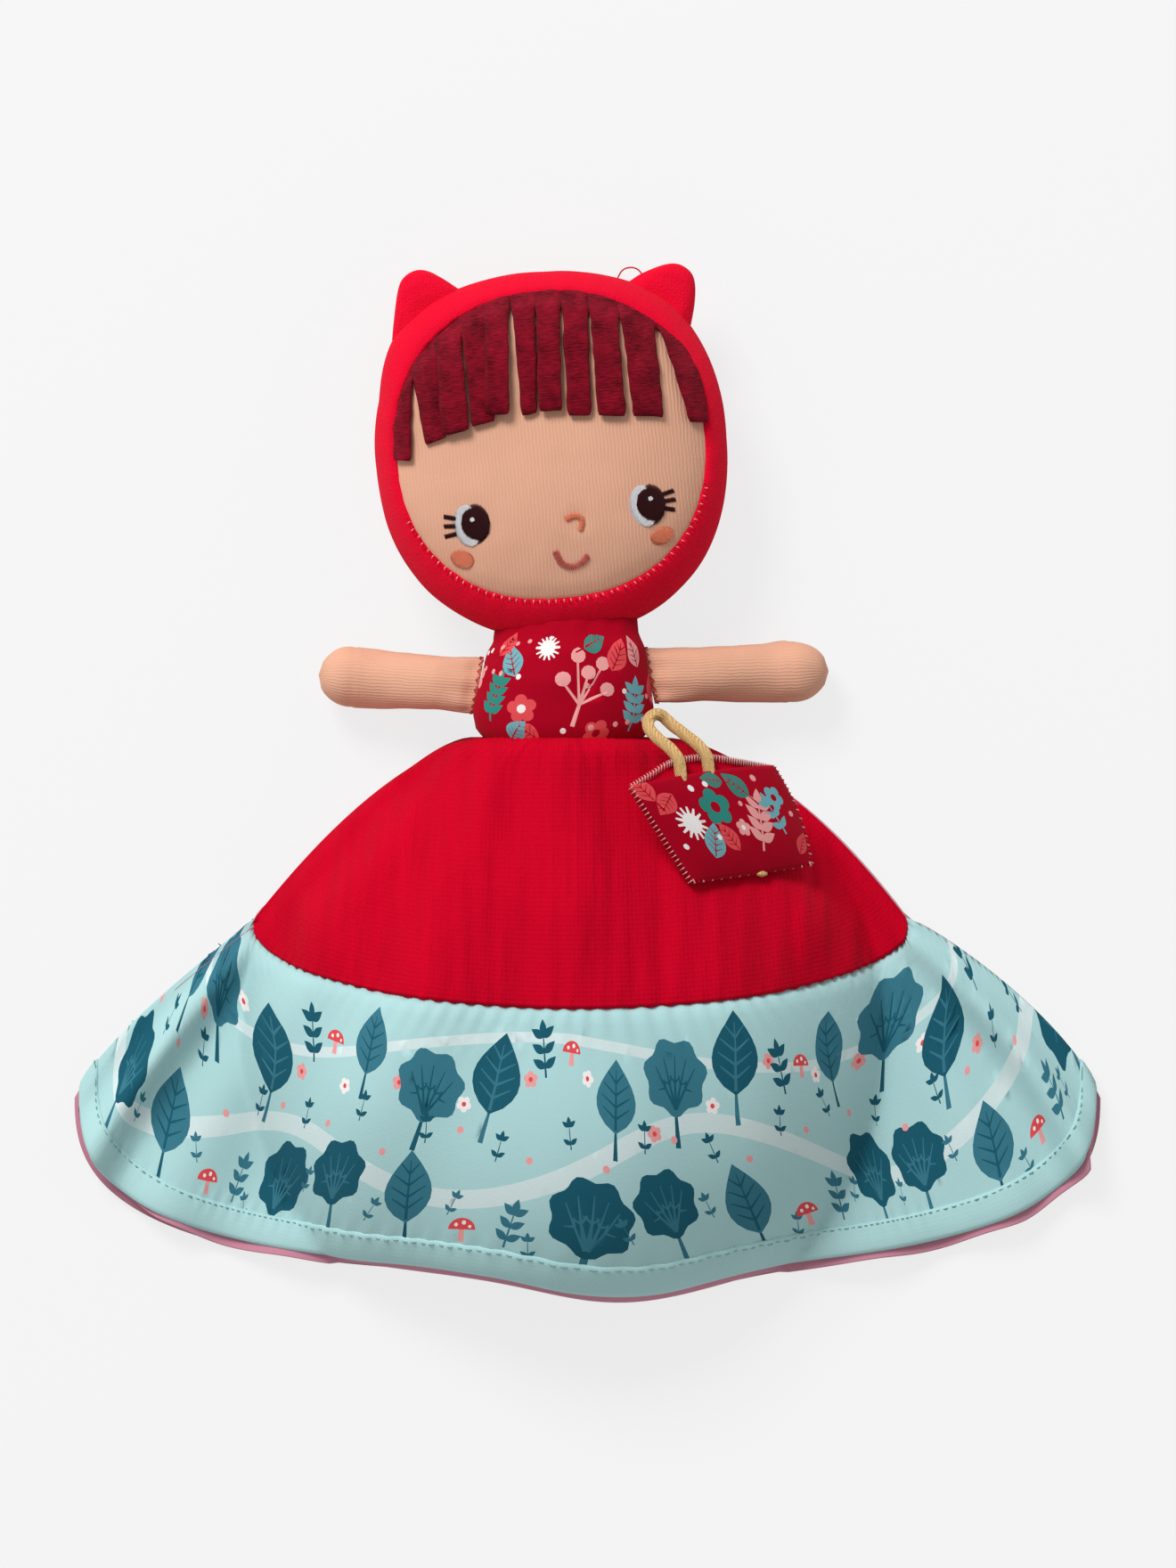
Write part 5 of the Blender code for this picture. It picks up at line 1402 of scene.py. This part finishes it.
BAG_TOP_WIDTH = 0.0480
BAG_BOTTOM_WIDTH = 0.0395
BAG_HEIGHT = 0.0268
BAG_LEAN = 0.0110
BAG_FLAP = 0.0052
HANDLE_DIAMETER = 0.0032
HANDLE_REACH = 0.0168
HANDLE_DROOP = 0.0085
HANDLE_LEFT = -0.0079
HANDLE_RIGHT = 0.0012
HANDLE_TOP = -0.0072
HANDLE_ROUTE_SHARES = ((0.0, -0.12), (0.0, 0.02), (-0.04, 0.35), (-0.28, 0.74), (-0.16, 0.95), (0.14, 1.02),
                       (0.46, 0.90), (0.92, 0.40), (1.0, 0.02), (1.0, -0.12))
HANDLE_STRANDS = 5
HANDLE_LAY = 0.0052
BAG_PIVOT = Vector((HANDLE_TOP, HANDLE_REACH, HANDLE_DIAMETER / 2.0 + GAP + CLOTH / 2.0 - HANDLE_DROOP))


def bag_corner(side, down):
    """A place on the bag's outline: side is -1 to 1, down is 0 at the top edge and 1 at the bottom."""
    width = mix(BAG_TOP_WIDTH, BAG_BOTTOM_WIDTH, down)
    curl = 0.0014 * max(0.0, side) ** 3.0 * sin(pi * down) - 0.0012 * max(0.0, side) ** 6.0 * (1.0 - down) ** 4.0
    return side * width / 2.0 + BAG_LEAN * down + curl, -BAG_HEIGHT * down


def bag_rise(side, down):
    fall = 1.0 - 0.55 * (2.0 * abs(down - 0.42)) ** 3.0 if down < 1.0 else 0.0
    return CLOTH * 1.5 + GAP + 0.0030 * max(0.0, fall) * (1.0 - side ** 4.0)


# The inks of the crimson print, whose ground is ink 0
RED_CORAL, RED_PINK, RED_TEAL, RED_AQUA, RED_WHITE = 1, 2, 3, 4, 5
# The bag's and the bodice's motifs: place, turn, size, and the motif with its inks
BAG_MOTIFS = (
    (-0.0140, -0.0120, 0.0, 0.0088, rayed_flower, RED_WHITE),
    (-0.0120, -0.0215, -0.5, 0.0100, broad_leaf, RED_AQUA, 0),
    (0.0060, -0.0215, -0.35, 0.0150, sprig, RED_PINK, 4), (-0.0040, -0.0090, 0.3, 0.0098, blossom, RED_TEAL, 0),
    (0.0085, -0.0075, 0.7, 0.0086, broad_leaf, RED_TEAL, 0), (-0.0150, -0.0040, 2.2, 0.0078, broad_leaf, RED_CORAL, 0),
    (-0.0205, -0.0050, 0.3, 0.0080, broad_leaf, RED_CORAL, 0), (0.0160, -0.0180, 0.3, 0.0105, sprig, RED_AQUA, 3),
    (-0.0025, -0.0205, 0.4, 0.0082, broad_leaf, RED_CORAL, 0), (0.0165, -0.0085, 0.9, 0.0064, blossom, RED_AQUA, 0),
    (0.0020, -0.0030, 1.3, 0.0062, broad_leaf, RED_TEAL, 0), (0.0195, -0.0235, -0.6, 0.0064, broad_leaf, RED_CORAL, 0),
    (0.0020, -0.0150, 0.1, 0.0046, blossom, RED_PINK, RED_WHITE))
BAG_DOTS = ((-0.0085, -0.0035, 0.0009), (-0.0035, -0.0030, 0.0008), (0.0125, -0.0030, 0.0009),
            (0.0120, -0.0130, 0.0008), (-0.0075, -0.0165, 0.0008), (-0.0195, -0.0175, 0.0008),
            (0.0205, -0.0130, 0.0008), (0.0045, -0.0090, 0.0007))
BODICE_MOTIFS = (
    (-0.0020, 0.0045, 0.25, 0.0190, berries, RED_PINK, RED_PINK),
    (0.0120, 0.0170, -0.4, 0.0092, broad_leaf, RED_AQUA, 0),
    (-0.0165, 0.0035, 0.15, 0.0125, sprig, RED_AQUA, 4), (0.0095, 0.0090, 0.2, 0.0074, blossom, RED_CORAL, RED_WHITE),
    (-0.0115, 0.0185, 0.5, 0.0084, broad_leaf, RED_CORAL, 0), (0.0045, 0.0242, 0.0, 0.0062, rayed_flower, RED_WHITE),
    (0.0060, 0.0012, -0.9, 0.0068, broad_leaf, RED_CORAL, 0), (-0.0078, 0.0030, 0.7, 0.0066, blossom, RED_CORAL, 0),
    (-0.0045, 0.0240, 1.2, 0.0064, broad_leaf, RED_TEAL, 0), (0.0185, 0.0060, 0.2, 0.0120, sprig, RED_TEAL, 4),
    (0.0140, 0.0015, 0.9, 0.0070, broad_leaf, RED_AQUA, 0), (0.0185, 0.0225, 0.5, 0.0078, broad_leaf, RED_CORAL, 0),
    (-0.0200, 0.0195, -0.3, 0.0074, broad_leaf, RED_PINK, 0),
    (0.0270, 0.0170, 0.2, 0.0070, blossom, RED_PINK, RED_WHITE),
    (-0.0250, 0.0100, 0.2, 0.0090, broad_leaf, RED_CORAL, 0), (-0.0310, 0.0030, -0.3, 0.0100, sprig, RED_PINK, 3))
BODICE_REPEAT = 0.0613


def laid_out(motifs, shift=0.0):
    return [part for u, v, turn, size, motif, *inks in motifs
            for part in put(motif(*inks), (shift + u, v), turn, size)]


def bodice_motifs():
    """The bodice's print: two repeats of its motifs and small dots, wrapped round the body."""
    made = []
    for shift in (0.0, BODICE_REPEAT):
        made += laid_out(BODICE_MOTIFS, shift)
        for i in range(30):
            place = (shift + 0.029 * sin(i * 2.4), 0.0035 + 0.0240 * ((i * 0.618) % 1.0))
            made.append((RED_PINK if i % 3 else RED_WHITE, turned(disc(0.0007, 9), place)))
    wrapped = []
    for ink, outline in made:
        middle = sum(u for u, _ in outline) / len(outline)
        back = BODICE_AROUND if middle > BODICE_AROUND / 2.0 else 0.0
        wrapped.append((ink, [(u - back, v) for u, v in outline]))
    return wrapped


def make_bag():
    """The bag: printed front, plain back with a serged edge, overcast sides and a cord handle."""
    matrix, half = bag_frame(), BAG_TOP_WIDTH / 2.0

    def place(x, y, z):
        return matrix @ (Vector((x, y, z)) - BAG_PIVOT)

    def surface(u, v):
        down, side = min(1.0, max(0.0, -v / BAG_HEIGHT)), u / half
        x, y = bag_corner(side, down)
        bow = 0.0009 * (1.0 - side * side) * (1.0 - down)
        crease = 0.0003 * lump((u, v, 0.0), 0.007, 2.2) * (1.0 - side ** 4.0)
        return place(x, y + bow, bag_rise(side, down) + crease)

    motifs = laid_out(BAG_MOTIFS)
    motifs += [(RED_PINK if u > 0.0 else RED_WHITE, turned(disc(r, 10), (u, v))) for u, v, r in BAG_DOTS]
    mesh = printed_mesh("bag_print", surface, lambda v: half, (-BAG_HEIGHT, 0.0), BAG_CELLS, motifs, crimson_inks())
    front = finish_piece(face_out(mesh), "bag", "crimson_print", ["bag_front"], CLOTH)
    declare_sheet(front)

    corners = [bag_corner(*spot) for spot in ((-1.0, 0.0), (-1.0, 1.0), (1.0, 1.0), (1.0, 0.0))]
    flap = [(corners[3][0] * s, BAG_FLAP * t) for s, t in ((0.40, 0.70), (0.06, 1.0), (-0.385, 1.0), (-0.73, 0.50))]
    rim = curve_through(corners[3:] + flap + corners[:1])
    loop = corners[:3] + rim
    back = mesh_of("bag_back_sheet", [place(x, y, CLOTH / 2.0) for x, y in loop], [tuple(range(len(loop)))],
                   [cloth("skirt")], loop)
    sheet = finish_piece(face_out(back), "bag", "skirt_red", ["bag_back"], CLOTH)
    declare_sheet(sheet)

    serge = Stitches(5)
    for here, there in zip(rim, rim[1:]):
        run = (there[0] - here[0], there[1] - here[1])
        count = max(1, int(hypot(*run) / 0.0007))
        for i in range(count):
            x, y = here[0] + run[0] * i / count, here[1] + run[1] * i / count
            serge.add([place(x, y - 0.0016, CLOTH), place(x + 0.0002, y - 0.0002, CLOTH + 0.0002),
                       place(x + 0.0004, y + 0.0002, 0.0002)], SERGE_THREAD)
    serge.piece("bag_serged_edge", [thread("pale", colour("pale_thread"))], "bag", "rose_thread")

    overcast = Stitches(5)

    def loop_over(spot, start, end, radius, ink):
        """One stitch over the bag's edge, from its front at start round to its back at end."""
        (x, y), high = bag_corner(*spot), bag_rise(*spot)
        overcast.add([place(x + start[0], y + start[1], high + 0.0001), place(x, y, high + 0.0003),
                      place(x + end[0], y + end[1], high - 0.0010)], radius, ink)

    for side in (-1.0, 1.0):
        for i, down in enumerate(steps(0.02, 0.98, 22)):
            loop_over((side, down), (-side * 0.0008, 0.0004), (side * 0.0002, -0.0004), SIDE_THREAD,
                      1 if i % 2 == 0 or side < 0.0 else 0)
    for i, side in enumerate(steps(-0.96, 0.96, 26)):
        loop_over((side, 1.0), (-0.0004, 0.0011), (0.0004, -0.0002), FOOT_THREAD, 1 - i % 2)
    overcast.piece("bag_overcast_edge", [thread("hood"), thread("blush", BLUSH)], "bag", "coral_thread")

    knot = Stitches(10)
    x, y = bag_corner(0.14, 1.0)
    knot.add([place(x + s * 0.0016, y - 0.0002 - 0.0002 * s, bag_rise(0.14, 1.0) + 0.0002) for s in (-1.0, 0.0, 1.0)],
             KNOT_CORD)
    knot.piece("cord_end", [cloth("cord")], "bag", "tan_cord")
    make_handle(place)


def make_handle(place):
    """The cord handle: strands twisted round each other."""
    rest = CLOTH / 2.0 + GAP + HANDLE_DIAMETER / 2.0
    plan = [(mix(HANDLE_LEFT, HANDLE_RIGHT, s), HANDLE_REACH * t) for s, t in HANDLE_ROUTE_SHARES]
    line = []
    for x, y in curve_through(plan, 14):
        droop = HANDLE_DROOP * smooth((y / HANDLE_REACH - 0.25) / 0.75)
        line.append(place(x, y, rest - droop - 0.0006 * smooth(-y, 0.0, 0.002)))
    points, flat, travelled = [], [], 0.0
    for before, centre, (side, up) in zip(line[:1] + line, line, squares(line, Vector((0.3, 0.2, 1.0)))):
        travelled += (centre - before).length
        for a in turns(HANDLE_SIDES):
            turn = a * HANDLE_STRANDS + travelled / HANDLE_LAY * 2.0 * pi
            radius = HANDLE_DIAMETER / 2.0 * (0.88 + 0.12 * abs(sin(turn / 2.0)) ** 0.7)
            points.append(centre + (side * cos(a) + up * sin(a)) * radius)
            flat.append((a * 0.0016, travelled))
    mesh = mesh_of("cord_handle", points, tube_faces(0, len(line), HANDLE_SIDES), [cloth("cord")], flat)
    finish_piece(mesh, "bag", "tan_cord", ["bag_handle"])


# Stage


PHOTO_MIDDLE = (0.00644, -0.01035)
PHOTO_HEIGHT = 0.4048
CAMERA_DISTANCE = 2.6
SENSOR = 36.0


def link(name, data, place):
    made = bpy.data.objects.new(name, data)
    made.location = place
    bpy.context.scene.collection.objects.link(made)
    return made


def make_camera():
    data = bpy.data.cameras.new("camera")
    data.lens = SENSOR * CAMERA_DISTANCE / PHOTO_HEIGHT
    data.sensor_width = SENSOR
    data.clip_end = 20.0
    bpy.context.scene.camera = link("camera", data, (*PHOTO_MIDDLE, CAMERA_DISTANCE + 0.010))


def make_floor():
    """A pale floor that keeps the doll's soft shadow."""
    mesh = bpy.data.meshes.new("floor")
    mesh.from_pydata([(-3.0, -3.0, 0.0), (3.0, -3.0, 0.0), (3.0, 3.0, 0.0), (-3.0, 3.0, 0.0)], [], [(0, 1, 2, 3)])
    material = bpy.data.materials.new("pale floor")
    material.use_nodes = True
    tree = material.node_tree
    shader = filled(tree.nodes["Principled BSDF"], {"Base Color": (0.86, 0.86, 0.86, 1.0), "Roughness": 0.9,
                                                    "Specular IOR Level": 0.1})
    glow = add_node(tree, "Emission", Color=(0.920, 0.920, 0.922, 1.0))
    seen = add_node(tree, "LightPath")
    share = worked(tree, "MAXIMUM", out(seen, "Is Camera Ray"), out(seen, "Is Glossy Ray")) * 0.85
    both = add_node(tree, "MixShader", share, out(shader), out(glow))
    filled(tree.nodes["Material Output"], {"Surface": out(both)})
    mesh.materials.append(material)
    floor = link("floor", mesh, (0.0, 0.0, -0.0002))


def make_light():
    world = bpy.data.worlds.new("studio")
    bpy.context.scene.world = world
    world.use_nodes = True
    filled(world.node_tree.nodes["Background"], {"Color": (1.0, 1.0, 1.0, 1.0), "Strength": 0.45})
    data = bpy.data.lights.new("key", "AREA")
    data.size = 1.00
    data.energy = 65.0
    lamp = link("key", data, (-1.00, 1.75, 1.85))
    lamp.rotation_mode = "QUATERNION"
    lamp.rotation_quaternion = (Vector((0.0, -0.01, 0.0)) - lamp.location).to_track_quat("-Z", "Y")
    bpy.context.scene.view_settings.view_transform = "Standard"


# Add-on


def size_property(name, description, default, low, high, precision):
    return bpy.props.FloatProperty(name=name, description=description, default=default, min=low, max=high,
                                   unit="LENGTH", precision=precision)


def colour_property(name, description, *default):
    return bpy.props.FloatVectorProperty(name=name, description=description, default=default, size=3,
                                         subtype="COLOR", min=0.0, max=1.0)


class DollSizes(bpy.types.PropertyGroup):
    fleece: size_property("Fleece thickness", "Thickness of the fringe's fleece", 0.0019, 0.0008, 0.0024, 4)
    satin: size_property("Satin pitch", "Distance between the satin stitches of the face", 0.00028, 0.0002, 0.0006, 5)
    hem_stitch: size_property("Hem stitch", "Length of one running stitch and its gap at the hem", 0.0021, 0.0015,
                              0.004, 4)


class DollColours(bpy.types.PropertyGroup):
    hood: colour_property("Hood red", "Cotton of the hood and the ears", 0.77, 0.004, 0.028)
    skirt: colour_property("Skirt red", "Crinkled gauze of the skirt", 0.52, 0.0008, 0.016)
    skin: colour_property("Peach jersey", "Jersey of the faces and the arms", 0.72, 0.385, 0.260)
    hair: colour_property("Fleece", "Fleece of the fringes", 0.250, 0.004, 0.017)
    dark: colour_property("Dark thread", "Thread of the eyes", 0.045, 0.012, 0.014)
    white: colour_property("White thread", "White thread of the eyes", 0.85, 0.85, 0.88)
    coral: colour_property("Coral thread", "Thread of the nose and the cheeks", 0.92, 0.27, 0.15)
    rose: colour_property("Rose thread", "Thread of the mouth", 0.60, 0.09, 0.09)
    aqua: colour_property("Aqua", "Ground of the border's print", 0.405, 0.635, 0.640)
    hem: colour_property("Hem aqua", "The border's turned hem", 0.42, 0.655, 0.655)
    hem_thread: colour_property("Hem thread", "Running stitch of the hem", 0.25, 0.50, 0.50)
    teal: colour_property("Teal ink", "Lighter teal of the border's leaves", 0.040, 0.175, 0.235)
    deep_teal: colour_property("Deep teal ink", "Darker teal of the border's leaves", 0.012, 0.098, 0.143)
    ribbon: colour_property("Ribbon ink", "Wavy ribbons of the border", 0.62, 0.74, 0.74)
    coral_ink: colour_property("Coral ink", "Coral of the prints", 0.72, 0.075, 0.085)
    pink_ink: colour_property("Pink ink", "Pink of the prints", 0.80, 0.34, 0.33)
    white_ink: colour_property("White ink", "White of the prints", 0.85, 0.82, 0.80)
    crimson: colour_property("Crimson", "Ground of the bodice's and bag's print", 0.38, 0.001, 0.014)
    leaf_teal: colour_property("Leaf teal ink", "Teal of the bodice's and bag's print", 0.030, 0.240, 0.200)
    leaf_aqua: colour_property("Leaf aqua ink", "Light aqua of the bodice's and bag's print", 0.150, 0.420, 0.470)
    lining: colour_property("Lining pink", "Lining of the skirt and the second doll's clothes", 0.58, 0.24, 0.32)
    pale_thread: colour_property("Pale thread", "Serged edge of the bag", 0.80, 0.55, 0.52)
    cord: colour_property("Cord", "Tan cord of the bag's handle", 0.72, 0.46, 0.19)


class DollPart:
    bl_options = {"REGISTER", "UNDO"}


class DOLL_OT_head(DollPart, bpy.types.Operator):
    """Make the hooded head: face, hood, ears, fringe and stitched features"""
    bl_idname = "doll.head"
    bl_label = "Hooded head"

    def execute(self, context):
        head = Head(True)
        make_face(head)
        make_hood(head, cloth("hood"), "hood_red", ["hood_front", "hood_back"])
        make_ear(head, "left_ear", "ear_left", LEFT_EAR)
        make_ear(head, "right_ear", "ear_right", RIGHT_EAR)
        make_thread_loop(head)
        make_fringe(head)
        make_stitched_face(head)
        make_face_hem(head)
        return {"FINISHED"}


class DOLL_OT_body(DollPart, bpy.types.Operator):
    """Make the hooded doll's printed bodice and jersey arms"""
    bl_idname = "doll.body"
    bl_label = "Bodice and arms"

    def execute(self, context):
        make_bodice(Head(True), "printed_bodice", crimson_inks(), bodice_motifs(), "crimson_print",
                    ["bodice_front", "bodice_back", "body_filling"])
        for side, length, heading in (("left", ARM_LENGTH_LEFT, 176.0), ("right", ARM_LENGTH_RIGHT, 1.5)):
            rows = make_arm(side + "_arm", f"arm_{side}_fold", "arm_" + side, length, radians(heading), 0.0,
                            ["arm_" + side, f"arm_{side}_filling"])
            make_arm_stitches(side + "_arm_stitches", rows)
        return {"FINISHED"}


class DOLL_OT_skirt(DollPart, bpy.types.Operator):
    """Make the skirt: crinkled gauze, printed border with its hem, lining and flat back"""
    bl_idname = "doll.skirt"
    bl_label = "Skirt"

    def execute(self, context):
        make_skirt_top()
        make_border()
        make_lining()
        make_backs()
        return {"FINISHED"}


class DOLL_OT_bag(DollPart, bpy.types.Operator):
    """Make the small bag with its cord handle"""
    bl_idname = "doll.bag"
    bl_label = "Bag"

    def execute(self, context):
        make_bag()
        return {"FINISHED"}


class DOLL_OT_second(DollPart, bpy.types.Operator):
    """Make the second doll, which lies inside the skirt"""
    bl_idname = "doll.second"
    bl_label = "Second doll"

    def execute(self, context):
        head = Head(False)
        make_face(head)
        make_hood(head, cloth("lining"), "pink_lining", ["second_cap_front", "second_cap_back"])
        make_fringe(head)
        make_stitched_face(head)
        make_bodice(head, "second_bodice", [cloth("lining")], [], "pink_lining",
                    ["second_bodice_front", "second_bodice_back"])
        for name, heading in (("second_arm_left", radians(45.0) - pi), ("second_arm_right", radians(-45.0))):
            make_arm(name + "_jersey", name + "_fold", name, SECOND_ARM_LENGTH, heading, SECOND_FLOOR,
                     [name, name + "_filling"])
        return {"FINISHED"}


class DOLL_OT_stage(DollPart, bpy.types.Operator):
    """Make the floor, the light and the camera"""
    bl_idname = "doll.stage"
    bl_label = "Stage"

    def execute(self, context):
        make_floor()
        make_light()
        make_camera()
        return {"FINISHED"}


OPERATORS = (DOLL_OT_stage, DOLL_OT_head, DOLL_OT_body, DOLL_OT_skirt, DOLL_OT_bag, DOLL_OT_second)


class DOLL_PT_panel(bpy.types.Panel):
    """Lists the doll's parts, sizes and colours"""
    bl_label = "Topsy turvy doll"
    bl_idname = "DOLL_PT_panel"
    bl_space_type = "VIEW_3D"
    bl_region_type = "UI"
    bl_category = "Doll"

    def draw(self, context):
        for operator in OPERATORS:
            self.layout.operator(operator.bl_idname)
        for group in (context.scene.doll_sizes, context.scene.doll_colours):
            for key in group.bl_rna.properties.keys():
                if key not in ("name", "rna_type"):
                    self.layout.prop(group, key)


CLASSES = (DollSizes, DollColours, *OPERATORS, DOLL_PT_panel)


def register():
    for item in CLASSES:
        bpy.utils.register_class(item)
    bpy.types.Scene.doll_sizes = bpy.props.PointerProperty(type=DollSizes)
    bpy.types.Scene.doll_colours = bpy.props.PointerProperty(type=DollColours)


def unregister():
    del bpy.types.Scene.doll_colours
    del bpy.types.Scene.doll_sizes
    for item in reversed(CLASSES):
        bpy.utils.unregister_class(item)


def main():
    register()
    for part in ("stage", "head", "body", "skirt", "bag", "second"):
        getattr(bpy.ops.doll, part)()


if __name__ == "__main__":
    main()
